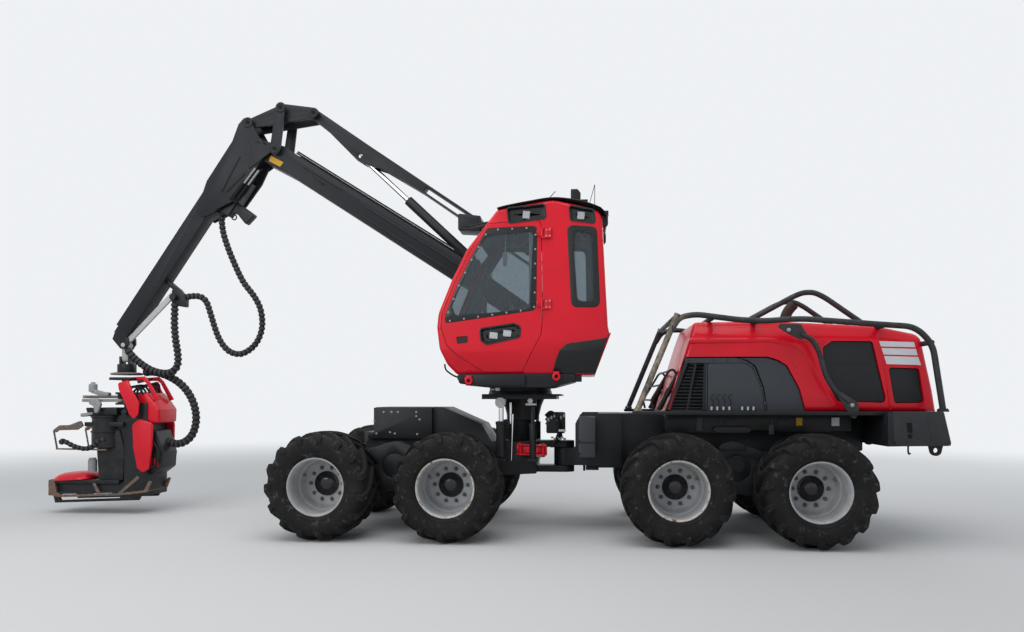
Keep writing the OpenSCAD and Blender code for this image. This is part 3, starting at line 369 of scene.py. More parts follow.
def other_finishes():
    """Bright metal, glass, lamp glass, seat cloth and tyre rubber."""
    m = {}
    chrome = Finish("chrome", 0.12, metal=1.0)
    chrome.base((0.72, 0.73, 0.75)).over(chrome.ramp(chrome.noise(3.0), 0.5, 0.8, 0.3), (0.5, 0.5, 0.52))
    chrome.rough_by(chrome.noise(40.0, 4.0), 0.08, 0.2)
    m["chrome"] = chrome.done()
    glass = Finish("tinted_glass", 0.02)
    glass.shader.inputs["Transmission Weight"].default_value = 0.9
    glass.shader.inputs["IOR"].default_value = 1.02
    glass.base((0.42, 0.47, 0.50)).over(glass.ramp(glass.noise(2.0), 0.5, 0.8, 0.4), (0.38, 0.43, 0.46))
    m["tinted_glass"] = glass.done()
    lens = Finish("lamp", 0.05)
    lens.shader.inputs["Transmission Weight"].default_value = 0.5
    lens.base((0.85, 0.87, 0.9)).over(lens.ramp(lens.noise(60.0), 0.4, 0.7, 0.4), (0.6, 0.62, 0.66))
    m["lamp"] = lens.done()
    seat = Finish("seat_fabric", 0.85)
    seat.base((0.03, 0.03, 0.033)).over(seat.ramp(seat.noise(300.0, 2.0), 0.4, 0.6, 0.5),
                                        (0.05, 0.05, 0.055))
    seat.bump(seat.noise(500.0, 2.0), 0.3, 0.001)
    m["seat_fabric"] = seat.done()
    tyre = Finish("tyre_rubber", 0.8, specular=0.2)
    cloud = tyre.noise(4.0, 6.0, 0.6)
    tyre.base((0.0085, 0.0085, 0.009)).over(tyre.ramp(cloud, 0.45, 0.75, 0.7), (0.026, 0.024, 0.022))
    tyre.over(tyre.ramp(tyre.noise(11.0, 8.0, 0.75), 0.56, 0.66, 0.75), (0.085, 0.082, 0.078))
    tyre.rough_by(cloud, 0.6, 0.95)
    tyre.bump(tyre.noise(60.0, 8.0, 0.7), 0.35, 0.006)
    m["tyre_rubber"] = tyre.done()
    return m


FINISH = {name: painted(name, *values) for name, values in PAINTS.items()}
FINISH.update(rust=rusted("rust"), guard_paint=scraped("guard_paint"), chipped_rim=chipped_rim())
FINISH.update(other_finishes())
SLOT_OF = {s["node"]: s["material_slot"] for s in frame["record"]["subparts"]}
# Finish and slot of the commonest pieces
RED, BLACK, DARK = ("red_paint",) * 2, ("satin_black", "dark_paint"), ("dark_paint",) * 2


def dress_nodes():
    """Every CAD node gets the finish of its slot."""
    for name, obj in NODES.items():
        obj.data.materials.clear()
        obj.data.materials.append(FINISH[SLOT_OF[name]])


# Shapes

def at(x, y, z):
    """Row-frame point from millimetres behind the steering axis, right of the middle, up."""
    return Vector((STEER_X + x / 1000, y / 1000, z / 1000))


def plan(points):
    """Outline in X and Z, from millimetres behind the steering axis."""
    return [(STEER_X + x / 1000, z / 1000) for x, z in points]


def in_plane(y, points):
    """Points (x, z) in millimetres, all at the distance y from the middle."""
    return [at(x, y, z) for x, z in points]


def span(side, near, far, middle=0.0):
    """Two distances from the middle to one side, the smaller first."""
    return middle + min(side * near, side * far), middle + max(side * near, side * far)


def circle(r, count, turn=0.0):
    """Points of a circle, as (x, y)."""
    return [(r * cos(turn + 2 * pi * k / count), r * sin(turn + 2 * pi * k / count)) for k in range(count)]


def fillet(points, radius, steps=4):
    """Closed outline with rounded corners; radius is one number or one for each corner."""
    count, out = len(points), []
    radii = radius if isinstance(radius, (list, tuple)) else [radius] * count
    for i in range(count):
        prev, corner, nxt = (Vector(points[k % count]) for k in (i - 1, i, i + 1))
        a, b = prev - corner, nxt - corner
        reach = 0.45 * min(a.length, b.length)
        a.normalize()
        b.normalize()
        turn = a.angle(b)
        if radii[i] <= 0 or turn > pi - 0.03:
            out.append(tuple(corner))
            continue
        t = min(radii[i] / tan(turn / 2), reach)
        r = t * tan(turn / 2)
        centre = corner + (a + b).normalized() * (r / sin(turn / 2))
        v0, v1 = corner + a * t - centre, corner + b * t - centre
        sweep = v0.angle(v1) * (1 if v0.x * v1.y > v0.y * v1.x else -1)
        for k in range(steps + 1):
            c, s = cos(sweep * k / steps), sin(sweep * k / steps)
            out.append((centre.x + v0.x * c - v0.y * s, centre.y + v0.x * s + v0.y * c))
    return out


def shrunk(points, d):
    """Outline moved inwards by d."""
    count = len(points)
    area = sum(points[i - 1][0] * points[i][1] - points[i][0] * points[i - 1][1] for i in range(count))
    side, out = (1 if area > 0 else -1), []
    for i in range(count):
        prev, here, nxt = (Vector(points[k % count]) for k in (i - 1, i, i + 1))
        e0, e1 = (here - prev).normalized(), (nxt - here).normalized()
        n0, n1 = Vector((-e0.y, e0.x)) * side, Vector((-e1.y, e1.x)) * side
        out.append(tuple(here + (n0 + n1) * d / max(0.35, 1 + n0.dot(n1))))
    return out


def curve_through(points, step):
    """Catmull-Rom line through points, about one step between its vertices."""
    p = [Vector(q) for q in points]
    p = [p[0] * 2 - p[1]] + p + [p[-1] * 2 - p[-2]]
    out = []
    for a, b, c, d in zip(p, p[1:], p[2:], p[3:]):
        n = max(1, round((c - b).length / step))
        for k in range(n):
            t = k / n
            out.append(0.5 * (2 * b + (c - a) * t + (2 * a - 5 * b + 4 * c - d) * t * t
                              + (3 * b - a - 3 * c + d) * t ** 3))
    return out + [p[-2]]


def bent(points, radius, steps=5):
    """Pipe line with its corners bent to a radius."""
    p = [Vector(q) for q in points]
    out = [p[0]]
    for prev, corner, nxt in zip(p, p[1:], p[2:]):
        a, b = prev - corner, nxt - corner
        t = min(radius, 0.45 * a.length, 0.45 * b.length)
        s, e = corner + a.normalized() * t, corner + b.normalized() * t
        for k in range(steps + 1):
            u = k / steps
            out.append(s * (1 - u) ** 2 + corner * 2 * u * (1 - u) + e * u * u)
    return out + [p[-1]]


# Closed ring of an eye, in millimetres
EYE = circle(34, 20) + circle(34, 1)


def toward(place, axis):
    """Matrix that takes Z to the axis and the origin to the place."""
    return Matrix.Translation(place) @ Vector(axis).to_track_quat("Z", "Y").to_matrix().to_4x4()


# Where each bending function has its creases, along X and along Z
CREASES = {}


class Piece:
    """Parts gathered in one mesh that rides on one body."""

    def __init__(self, name, body=None, finish=None, slot=None, angle=35):
        self.name, self.body, self.finish, self.slot, self.angle = name, body, finish, slot, angle
        self.bm = bmesh.new()

    def skin(self, rings, matrix=None, caps=True):
        """Faces between rings of points; caps is True, False or "end" for the last ring alone."""
        rows = [[self.bm.verts.new(matrix @ Vector(p) if matrix else p) for p in ring] for ring in rings]
        n = len(rows[0])
        for a, b in zip(rows, rows[1:]):
            for i in range(n):
                self.bm.faces.new((a[i], a[(i + 1) % n], b[(i + 1) % n], b[i]))
        if caps is True:
            self.bm.faces.new(rows[0][::-1])
        if caps:
            self.bm.faces.new(rows[-1])
        return self

    def split(self, warp):
        """Cuts the faces where the warp has its creases."""
        for axis, places in zip(((1, 0, 0), (0, 0, 1)), CREASES[warp]):
            for d in places:
                every = self.bm.verts[:] + self.bm.edges[:] + self.bm.faces[:]
                bmesh.ops.bisect_plane(self.bm, geom=every, plane_co=Vector(axis) * d, plane_no=axis)
        return self

    def slab(self, points, y0, y1, edge=0.0, matrix=None, steps=3):
        """Outline in X and Z, run along Y, with rounded rims."""
        rim = [(edge * (1 - sin(a)), edge * (1 - cos(a)))
               for a in (pi / 2 * k / steps for k in range(steps + 1))] if edge else [(0, 0)]
        levels = [(i, y0 + d) for i, d in rim] + [(i, y1 - d) for i, d in reversed(rim)]
        return self.skin([[(x, y, z) for x, z in (shrunk(points, i) if i else points)]
                          for i, y in levels], matrix)

    def plate(self, points, bend, y0, y1, edge=0.0):
        """Slab of an outline in millimetres with bent corners."""
        return self.slab(fillet(plan(points), bend), y0, y1, edge)

    def box(self, x0, x1, y0, y1, z0, z1, edge=4, matrix=None):
        """Rounded box between millimetres in the frame of at()."""
        e = edge / 1000
        corners = plan([(x0, z0), (x1, z0), (x1, z1), (x0, z1)])
        return self.slab(fillet(corners, e, 2) if e else corners, y0 / 1000, y1 / 1000, e, matrix, 2)

    def lathe(self, profile, place, axis, sides=32):
        """Profile of (radius, height) turned about the axis through the place."""
        rings = [[(x, y, h) for x, y in circle(r, sides)] for r, h in profile]
        return self.skin(rings, toward(place, axis))

    def rod(self, a, b, r, sides=16, edge=0.002):
        a, b = Vector(a), Vector(b)
        h = (b - a).length
        return self.lathe([(r - edge, 0), (r, edge), (r, h - edge), (r - edge, h)], a, b - a, sides)

    def tube(self, points, r, sides=10):
        """Round tube along points; r is a radius or a function of the share of the length."""
        p = [Vector(q) for q in points]
        ahead = (p[1] - p[0]).normalized()
        normal = ahead.orthogonal().normalized()
        rings = []
        for i, q in enumerate(p):
            way = (p[min(i + 1, len(p) - 1)] - p[max(i - 1, 0)]).normalized()
            normal = (normal - way * normal.dot(way)).normalized()
            other = way.cross(normal)
            size = r(i / (len(p) - 1)) if callable(r) else r
            rings.append([q + (normal * x + other * y) * size for x, y in circle(1, sides)])
        return self.skin(rings)

    def bolt(self, place, axis, r=0.011):
        """Hexagon head on its washer."""
        m = toward(place, axis)
        self.skin([[(x, y, h) for x, y in circle(1.5 * r, 12)] for h in (-r, 0.25 * r)], m)
        return self.skin([[(x, y, h) for x, y in circle(q * r, 6)]
                          for q, h in ((1, 0), (1, 0.9 * r), (0.8, 1.1 * r))], m)

    def mesh(self, mesh, matrix=None):
        """Takes in a mesh, which goes afterwards."""
        if matrix:
            mesh.transform(matrix)
        self.bm.from_mesh(mesh)
        bpy.data.meshes.remove(mesh)
        return self

    def raw(self):
        """The gathered mesh as a plain object, not yet on its body."""
        bmesh.ops.remove_doubles(self.bm, verts=self.bm.verts, dist=1e-5)
        bmesh.ops.recalc_face_normals(self.bm, faces=self.bm.faces)
        mesh = bpy.data.meshes.new(self.name)
        self.bm.to_mesh(mesh)
        self.bm.free()
        return in_scene(self.name, mesh)

    def done(self, *nodes, warp=None):
        if warp:
            self.split(warp)
        return dress(self.raw(), self.body, self.finish, self.slot, nodes, self.angle, warp)


def block(points, y0, y1, edge=0.0, r=0.0):
    """A raw block to cut with."""
    return Piece("block").slab(fillet(plan(points), r) if r else plan(points), y0, y1, edge).raw()


def dress(obj, body, finish, slot=None, nodes=(), angle=35, warp=None):
    """Smooths a mesh object, gives it its finish and puts it on its body."""
    mesh = obj.data
    if warp:
        for v in mesh.vertices:
            v.co = warp(v.co)
    mesh.shade_smooth()
    mesh.set_sharp_from_angle(angle=radians(angle))
    mesh.materials.clear()
    mesh.materials.append(FINISH[finish])
    if body:
        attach(obj, body)
    if nodes:
        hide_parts(*nodes)
    return obj


def through_modifiers(obj):
    """The object's mesh with its modifiers made real; the object goes."""
    graph = bpy.context.evaluated_depsgraph_get()
    mesh = bpy.data.meshes.new_from_object(obj.evaluated_get(graph))
    old = obj.data
    bpy.data.objects.remove(obj)
    bpy.data.meshes.remove(old)
    return mesh


def cut(obj, *cutters, keep="DIFFERENCE", solver="MANIFOLD"):
    """Boolean with other raw objects, which go afterwards."""
    name = obj.name
    for cutter in cutters:
        mod = obj.modifiers.new("cut", "BOOLEAN")
        mod.solver, mod.operation, mod.object = solver, keep, cutter
    mesh = through_modifiers(obj)
    for cutter in cutters:
        old = cutter.data
        bpy.data.objects.remove(cutter)
        bpy.data.meshes.remove(old)
    mesh.name = name
    return in_scene(name, mesh)


def eased(node, width=0.006, finish=None, segments=2, angle=30, cutters=()):
    """Copy of a CAD node with its edges broken, shown in the node's place."""
    bm = bmesh.new()
    bm.from_mesh(NODES[node].data)
    bmesh.ops.remove_doubles(bm, verts=bm.verts, dist=1e-5)
    bmesh.ops.dissolve_limit(bm, angle_limit=radians(1), verts=bm.verts, edges=bm.edges)
    mesh = bpy.data.meshes.new(node + "_eased")
    bm.to_mesh(mesh)
    bm.free()
    obj = in_scene(node + "_eased", mesh)
    if cutters:
        obj = cut(obj, *cutters, solver="EXACT")
    mod = obj.modifiers.new("ease", "BEVEL")
    mod.limit_method, mod.angle_limit = "ANGLE", radians(angle)
    mod.width, mod.segments, mod.harden_normals = width, segments, False
    out = in_scene(node + "_eased", through_modifiers(obj))
    return dress(out, BODY_OF[node], finish or SLOT_OF[node], SLOT_OF[node], (node,), 40)


# Repeats by geometry nodes

def repeat_tree(name, sockets, build):
    """Node tree with named inputs that ends in Realize Instances and Set Material."""
    tree = bpy.data.node_groups.new(name, "GeometryNodeTree")
    face = tree.interface
    face.new_socket("Geometry", in_out="INPUT", socket_type="NodeSocketGeometry")
    for label, kind in sockets:
        face.new_socket(label, in_out="INPUT", socket_type="NodeSocket" + kind)
    face.new_socket("Geometry", in_out="OUTPUT", socket_type="NodeSocketGeometry")
    source, sink = tree.nodes.new("NodeGroupInput"), tree.nodes.new("NodeGroupOutput")
    real, paint = tree.nodes.new("GeometryNodeRealizeInstances"), tree.nodes.new("GeometryNodeSetMaterial")
    spread = build(tree, source)
    tree.links.new(spread.outputs["Instances"], real.inputs["Geometry"])
    tree.links.new(real.outputs["Geometry"], paint.inputs["Geometry"])
    tree.links.new(source.outputs["Material"], paint.inputs["Material"])
    tree.links.new(paint.outputs["Geometry"], sink.inputs["Geometry"])
    return tree


def ring_build(tree, source):
    ring, spread = tree.nodes.new("GeometryNodeMeshCircle"), tree.nodes.new("GeometryNodeInstanceOnPoints")
    index, turn = tree.nodes.new("GeometryNodeInputIndex"), tree.nodes.new("ShaderNodeMath")
    share, spin = tree.nodes.new("ShaderNodeMath"), tree.nodes.new("ShaderNodeCombineXYZ")
    share.operation, turn.operation = "DIVIDE", "MULTIPLY"
    share.inputs[0].default_value = 2 * pi
    link = tree.links.new
    link(source.outputs["Count"], ring.inputs["Vertices"])
    link(source.outputs["Radius"], ring.inputs["Radius"])
    link(source.outputs["Count"], share.inputs[1])
    link(index.outputs[0], turn.inputs[0])
    link(share.outputs[0], turn.inputs[1])
    link(turn.outputs[0], spin.inputs["Z"])
    link(ring.outputs["Mesh"], spread.inputs["Points"])
    link(source.outputs["Geometry"], spread.inputs["Instance"])
    link(spin.outputs[0], spread.inputs["Rotation"])
    return spread


def row_build(tree, source):
    line, spread = tree.nodes.new("GeometryNodeMeshLine"), tree.nodes.new("GeometryNodeInstanceOnPoints")
    link = tree.links.new
    link(source.outputs["Count"], line.inputs["Count"])
    link(source.outputs["Step"], line.inputs["Offset"])
    link(line.outputs["Mesh"], spread.inputs["Points"])
    link(source.outputs["Geometry"], spread.inputs["Instance"])
    return spread


def rib_build(tree, source):
    curve, points = tree.nodes.new("GeometryNodeMeshToCurve"), tree.nodes.new("GeometryNodeCurveToPoints")
    ring, spread = tree.nodes.new("GeometryNodeMeshCylinder"), tree.nodes.new("GeometryNodeInstanceOnPoints")
    points.mode = "LENGTH"
    ring.inputs["Vertices"].default_value = 14
    link = tree.links.new
    link(source.outputs["Geometry"], curve.inputs["Mesh"])
    link(curve.outputs["Curve"], points.inputs["Curve"])
    link(source.outputs["Step"], points.inputs["Length"])
    link(source.outputs["Radius"], ring.inputs["Radius"])
    link(source.outputs["Width"], ring.inputs["Depth"])
    link(points.outputs["Points"], spread.inputs["Points"])
    link(points.outputs["Rotation"], spread.inputs["Rotation"])
    link(ring.outputs["Mesh"], spread.inputs["Instance"])
    return spread


TREES = {
    "ring": repeat_tree("ring", [("Count", "Int"), ("Radius", "Float"), ("Material", "Material")],
                        ring_build),
    "row": repeat_tree("row", [("Count", "Int"), ("Step", "Vector"), ("Material", "Material")], row_build),
    "ribs": repeat_tree("ribs", [("Step", "Float"), ("Radius", "Float"), ("Width", "Float"),
                                 ("Material", "Material")], rib_build),
}


def repeated(tree, unit, finish, **values):
    """Mesh of a raw object run through one of the trees."""
    mod = unit.modifiers.new("repeat", "NODES")
    mod.node_group = TREES[tree]
    values["Material"] = FINISH[finish]
    for item in mod.node_group.interface.items_tree:
        if item.in_out == "INPUT" and item.name in values:
            mod[item.identifier] = values[item.name]
    return through_modifiers(unit)


def line_object(points):
    mesh = bpy.data.meshes.new("line")
    mesh.from_pydata([tuple(p) for p in points], [(i, i + 1) for i in range(len(points) - 1)], [])
    return in_scene("line", mesh)


# Wheels

# Tyre carcass as (radius, half width) from one bead round the tread to the other
CARCASS = [(0.322, 0.290), (0.334, 0.306), (0.341, 0.318), (0.362, 0.331), (0.368, 0.338), (0.376, 0.335),
           (0.405, 0.345), (0.440, 0.351), (0.475, 0.350), (0.505, 0.343), (0.532, 0.328), (0.552, 0.306),
           (0.563, 0.280), (0.570, 0.220), (0.573, 0.120)]

# Lug stations: top (half width, radius), foot (half width, radius), lead angle, half breadth
LUG = [(-0.022, 0.616, -0.022, 0.560, 0.52, 0.035), (0.070, 0.616, 0.070, 0.560, 0.375, 0.036),
       (0.150, 0.614, 0.150, 0.558, 0.235, 0.038), (0.225, 0.611, 0.220, 0.553, 0.120, 0.040),
       (0.285, 0.603, 0.270, 0.545, 0.045, 0.042), (0.325, 0.584, 0.300, 0.530, 0.012, 0.042),
       (0.347, 0.556, 0.315, 0.515, 0.0, 0.040), (0.355, 0.525, 0.325, 0.500, -0.006, 0.037),
       (0.352, 0.494, 0.335, 0.485, -0.010, 0.033)]

# The lugs start below this radius; worn ones lose a share of their height
LUG_FOOT, LUGS_A_SIDE, TYRE_SIDES, RIM_SIDES = 0.56, 15, 90, 64
LUG_SOFT = 0.010

# Rim as (radius, distance outwards): outer lip, barrel, dished disc, back of the disc, inner lip
RIM = [(0.3325, 0.290), (0.3335, 0.298), (0.330, 0.304), (0.322, 0.304), (0.315, 0.298), (0.309, 0.286),
       (0.303, 0.268), (0.301, 0.190), (0.300, 0.060), (0.296, 0.030), (0.288, 0.022), (0.281, 0.010),
       (0.274, -0.040), (0.262, -0.080), (0.252, -0.095), (0.243, -0.102), (0.232, -0.105), (0.095, -0.105),
       (0.095, -0.135), (0.250, -0.135), (0.290, -0.120), (0.300, -0.150), (0.303, -0.268), (0.309, -0.286),
       (0.322, -0.304), (0.3335, -0.298), (0.3325, -0.290), (0.316, -0.280), (0.311, 0.0), (0.316, 0.280),
       (0.3325, 0.290)]
HUB_CAP = [(0.143, -0.108), (0.143, -0.090), (0.138, -0.082), (0.126, -0.078), (0.118, -0.074),
           (0.072, -0.050), (0.062, -0.046), (0.020, -0.045), (0.001, -0.045)]
NUT = [(0.026, 0), (0.026, 0.005), (0.018, 0.006), (0.018, 0.026), (0.011, 0.030), (0.010, 0.042)]
NUTS, NUT_CIRCLE, DISC_FACE = 10, 0.190, -0.105
# How far each wheel stands turned, and the angle of its valve on the front and rear wheels
TURNED = {"l1": 0.10, "l2": 0.31, "l3": 0.02, "l4": 0.22, "r1": 0.17, "r2": 0.05, "r3": 0.27, "r4": 0.36}
VALVE_FRONT, VALVE_REAR = 2.75, 0.45


def tyre_mesh():
    """One tyre about Y at the origin, with the lugs of its two sides half a pitch apart."""
    p = Piece("tyre")
    profile = CARCASS + [(0.574, 0.0)] + [(r, -h) for r, h in reversed(CARCASS)]
    p.skin([[(z, h, x) for x, z in circle(r, TYRE_SIDES)] for r, h in profile], caps=False)
    for mirror in (1, -1):
        for n in range(LUGS_A_SIDE):
            turn = 2 * pi * (n + (0.5 if mirror > 0 else 0)) / LUGS_A_SIDE
            wear = 0.985 + 0.015 * ((n * 7) % 5) / 4
            rings = []
            for top, r1, foot, r0, lead, half in LUG:
                r1 = LUG_FOOT + (r1 - LUG_FOOT) * wear if r1 > 0.58 else r1
                flank = (top * 0.4 + foot * 0.6, r0 + (r1 - r0) * 0.75)
                section = [(-half - LUG_SOFT, foot, r0), (-half, *flank), (-half + LUG_SOFT, top, r1),
                           (half - LUG_SOFT, top, r1), (half, *flank), (half + LUG_SOFT, foot, r0)]
                ring = []
                for along, h, r in section:
                    angle = turn + lead + along / r
                    ring.append((-r * sin(angle), mirror * h, r * cos(angle)))
                rings.append(ring)
            p.skin(rings)
    return p.raw()


def make_wheels():
    tyre = tyre_mesh()
    for name in WHEELS:
        side = -1 if name[0] == "l" else 1
        centre, body = middle(f"rim_{name}"), BODY_OF[f"rim_{name}"]
        mesh = tyre.data.copy()
        mesh.transform(Matrix.Translation(centre) @ Matrix.Rotation(TURNED[name], 4, "Y"))
        dress(in_scene(f"tyre_worn_{name}", mesh), body, "tyre_rubber", None, (f"tyre_{name}",), 32)
        out = Vector((0, side, 0))
        rim = Piece(f"rim_turned_{name}", body, "chipped_rim" if name[1] in "23" else "rim_paint",
                    "rim_paint")
        rings = [[(x, y, h) for x, y in circle(r, RIM_SIDES)] for r, h in RIM]
        rim.skin(rings, toward(centre, out), caps=False)
        valve = VALVE_FRONT if name[1] in "12" else VALVE_REAR
        valve = toward(centre, out) @ Matrix.Rotation(valve if side < 0 else -valve, 4, "Z")
        rim.done(f"rim_{name}")
        Piece(f"hub_cap_{name}", body, "gloss_black").lathe(HUB_CAP, centre, out, 40).done()
        unit = Piece("nut")
        unit.lathe(NUT, (0, 0, 0), (0, 0, 1), 6)
        nuts = Piece(f"wheel_nuts_{name}", body, "worn_steel")
        nuts.mesh(repeated("ring", unit.raw(), "worn_steel", Count=NUTS, Radius=NUT_CIRCLE),
                  toward(centre + out * DISC_FACE, out))
        nuts.done()
        stub = Piece(f"valve_{name}", body, "pale_rubber")
        a, b = valve @ Vector((0.262, 0, -0.02)), valve @ Vector((0.215, 0, 0.035))
        stub.rod(a, b, 0.017, 12, 0.004)
        stub.rod(a, a * 0.8 + b * 0.2, 0.024, 12, 0.004)
        stub.done()
    bpy.data.objects.remove(tyre)


# Rear body

# The hood narrows above its shoulder and towards its rear end
SHOULDER_Z, SHOULDER_RISE, SHOULDER_LEAN = 2.27, 0.18, 0.10
TAPER_X, TAPER_RUN, TAPER = 3.5, 0.65, 0.05


def hood_width(v):
    """The hood's sides lean inwards above the louvres, as on the real sheet metal."""
    k = 1.0
    if v.z > SHOULDER_Z:
        k -= SHOULDER_LEAN * min(1.0, (v.z - SHOULDER_Z) / SHOULDER_RISE)
    if v.x > STEER_X + TAPER_X:
        k -= TAPER * min(1.0, (v.x - STEER_X - TAPER_X) / TAPER_RUN)
    return Vector((v.x, v.y * k, v.z))


CREASES[hood_width] = ((STEER_X + TAPER_X, STEER_X + TAPER_X + TAPER_RUN),
                       (SHOULDER_Z, SHOULDER_Z + SHOULDER_RISE))
HOOD_HALF, HOOD_WALL = 0.82, 0.035
HOOD = [(1200, 1462), (4168, 1462), (4130, 1700), (3995, 2325), (3570, 2425), (2960, 2463), (2365, 2494),
        (1519, 2490), (1384, 2055)]
BAY = [(1222, 1440), (2752, 1440), (2676, 1723), (2540, 1982), (2440, 2046), (2321, 2084), (1400, 2084)]
VENT_1 = [(3084, 1578), (3590, 1560), (3612, 1611), (3464, 2250), (3028, 2255), (2927, 2182), (2950, 1830)]
VENT_2 = [(3704, 1556), (4034, 1562), (3973, 1945), (3638, 1957)]

# The rear row of louvres stands steeper than the front one by this much a height
LOUVRE_LEAN = 0.22


def make_hood():
    """Rounded hood shell with its openings cut, then near-black sheets of painted shade and the panels
    behind them.
    """
    shell = Piece("hood_sheet")
    shell.slab(fillet(plan(HOOD), [0, 0, 0.1, 0.12, 0.3, 0, 0.3, 0.05, 0.05], 4), -HOOD_HALF, HOOD_HALF,
               0.055, steps=5)
    inner = Piece("inner")
    inner.slab(shrunk(plan(HOOD), HOOD_WALL), -0.775, 0.775, 0.03)
    cutters = []
    for points, r in ((BAY, 0.03), (VENT_1, 0.035), (VENT_2, 0.03)):
        for y0, y1 in ((-1.0, -0.7), (0.7, 1.0)):
            c = Piece("window")
            c.plate(points, r, y0, y1)
            cutters.append(c.raw())
    obj = cut(shell.split(hood_width).raw(), *cutters, inner.raw())
    dress(obj, "rear", *RED, ("hood",), 28, hood_width)
    for s in (-1, 1):
        tag = "l" if s < 0 else "r"
        # Near-black sheets behind the openings: painted shade of the hood's inside
        back = Piece(f"bay_painted_shade_{tag}", "rear", "inside")
        back.slab(plan([(1240, 1470), (2740, 1470), (2530, 2060), (1415, 2060)]), *span(s, 0.745, 0.755))
        back.slab(plan([(2950, 1560), (3640, 1560), (3500, 2270), (2900, 2270)]), *span(s, 0.700, 0.710))
        back.slab(plan([(3690, 1550), (4045, 1550), (3985, 1965), (3630, 1965)]), *span(s, 0.690, 0.700))
        back.done(warp=hood_width)
        # Bay: louvre panel, middle panel with its bolted frame, rear panel
        grey = Piece(f"bay_panels_{tag}", "rear", "bay_grey", "grey_paint")
        grey.plate([(1662, 1452), (2300, 1452), (2262, 1716), (2168, 1948), (2085, 2010), (1662, 2010)],
                   0.03, *span(s, 0.790, 0.806), 0.004)
        grey.plate([(2330, 1446), (2742, 1446), (2668, 1722), (2533, 1974), (2432, 2036), (2315, 2072),
                    (1990, 2072), (2115, 2040), (2200, 1975), (2290, 1730)], 0.02, *span(s, 0.785, 0.800),
                   0.004)
        grey.slab(plan([(1410, 2072), (1980, 2072), (2100, 2030), (2185, 1965), (2275, 1725), (2322, 1450),
                        (2306, 1450), (2266, 1718), (2172, 1952), (2088, 2014), (1655, 2014), (1655, 1452),
                        (1640, 1452), (1640, 2014), (1402, 2014)]), *span(s, 0.792, 0.809), 0.003)
        for x, z in ((1450, 2050), (1728, 2050), (1880, 2050), (2028, 2046), (2140, 1985), (2215, 1850),
                     (2262, 1718), (2300, 1550), (2625, 1960)):
            grey.bolt(at(x, s * 808, z), (0, s, 0), 0.012)
        grey.done("hood_panels")
        unit = Piece("bar")
        unit.slab(fillet([(0, 0), (0.170, 0), (0.174, 0.018), (0.004, 0.018)], 0.006, 2), -0.004, 0.010,
                  0.003, Matrix.Rotation(radians(-28 * s), 4, "X"))
        louvre = Piece(f"louvres_{tag}", "rear", "grille_paint", "grille_paint")
        slats = repeated("row", unit.raw(), "grille_paint", Count=14, Step=(0.0165, 0, 0.0385))
        other = slats.copy()
        louvre.mesh(slats, Matrix.Translation(at(1245, s * 792, 1490)))
        shift = Matrix.Translation(at(1430, s * 792, 1490)) @ Matrix.Diagonal((0.98, 1, 1, 1))
        for v in other.vertices:
            v.co.x -= v.co.z * LOUVRE_LEAN
        louvre.mesh(other, shift)
        louvre.slab(plan([(1170, 1446), (1236, 1446), (1450, 2040), (1405, 2040)]), *span(s, 0.786, 0.802),
                    0.003)
        louvre.slab(plan([(1410, 1446), (1440, 1446), (1545, 2040), (1522, 2040)]), *span(s, 0.786, 0.800),
                    0.003)
        louvre.slab(plan([(1600, 1446), (1640, 1446), (1640, 2070), (1402, 2070), (1395, 2030),
                          (1620, 2030)]), *span(s, 0.786, 0.802), 0.003)
        louvre.slab(plan([(1180, 1440), (1640, 1440), (1640, 1480), (1195, 1480)]), *span(s, 0.786, 0.802),
                    0.003)
        louvre.done(*(("hood_grilles",) if s < 0 else ()))
        black = Piece(f"rear_vents_{tag}", "rear", "vent_black", "grille_paint")
        seams = fillet(shrunk(plan(VENT_1), 0.004), 0.03)
        black.slab(seams, *span(s, 0.776, 0.800), 0.008)
        black.slab(plan([(2990, 2000), (3500, 1994), (3500, 2003), (2990, 2009)]), *span(s, 0.797, 0.803))
        black.slab(fillet(shrunk(plan(VENT_2), 0.004), 0.02), *span(s, 0.772, 0.793), 0.006)
        black.done(warp=hood_width)
        white = Piece(f"white_bars_{tag}", "rear", "white_paint")
        for bar in ([(3536, 2250), (3916, 2238), (3934, 2180), (3556, 2190)],
                    [(3562, 2173), (3939, 2162), (3958, 2090), (3584, 2101)],
                    [(3590, 2084), (3964, 2072), (3994, 1982), (3618, 1994)]):
            white.slab(plan(bar), *span(s, 0.8185, 0.8225))
        white.done(warp=hood_width)
        pegs = Piece(f"connectors_{tag}", "rear", "white_plastic")
        wires = Piece(f"connector_wires_{tag}", "rear", "rubber")
        for i, x in enumerate((1568, 1702, 1765, 1835, 1900, 2042, 2106, 2168)[1 if s < 0 else 3:]):
            pegs.rod(at(x, s * 826, 1476), at(x, s * 826, 1516), 0.012, 10)
            if i < 4:
                wires.tube(curve_through([at(x, s * 828, 1512), at(x + 18, s * 832, 1570),
                        at(x - 12, s * 834, 1620), at(x + 30, s * 826, 1660)], 0.02), 0.004, 6)
            wires.rod(at(x, s * 826, 1466), at(x, s * 826, 1478), 0.009, 8)
        pegs.done()
        wires.done()
    ridge = Piece("hood_ridges", "rear", *RED, 60)
    for s in (-1, 1):
        line = curve_through([at(1462, s * 792, 2264), at(2100, s * 792, 2264), at(2398, s * 792, 2258),
                              at(2693, s * 792, 2144), at(2850, s * 792, 1901), at(2975, s * 792, 1670),
                              at(3050, s * 800, 1530)], 0.05)
        ridge.tube(line, lambda t: 0.042 - 0.012 * t, 14)
        ridge.slab(plan([(3652, 1480), (3668, 1480), (3602, 1960), (3512, 2330), (3498, 2330),
                         (3590, 1955)]), *span(s, 0.79, 0.8215), 0.002)
    ridge.done()
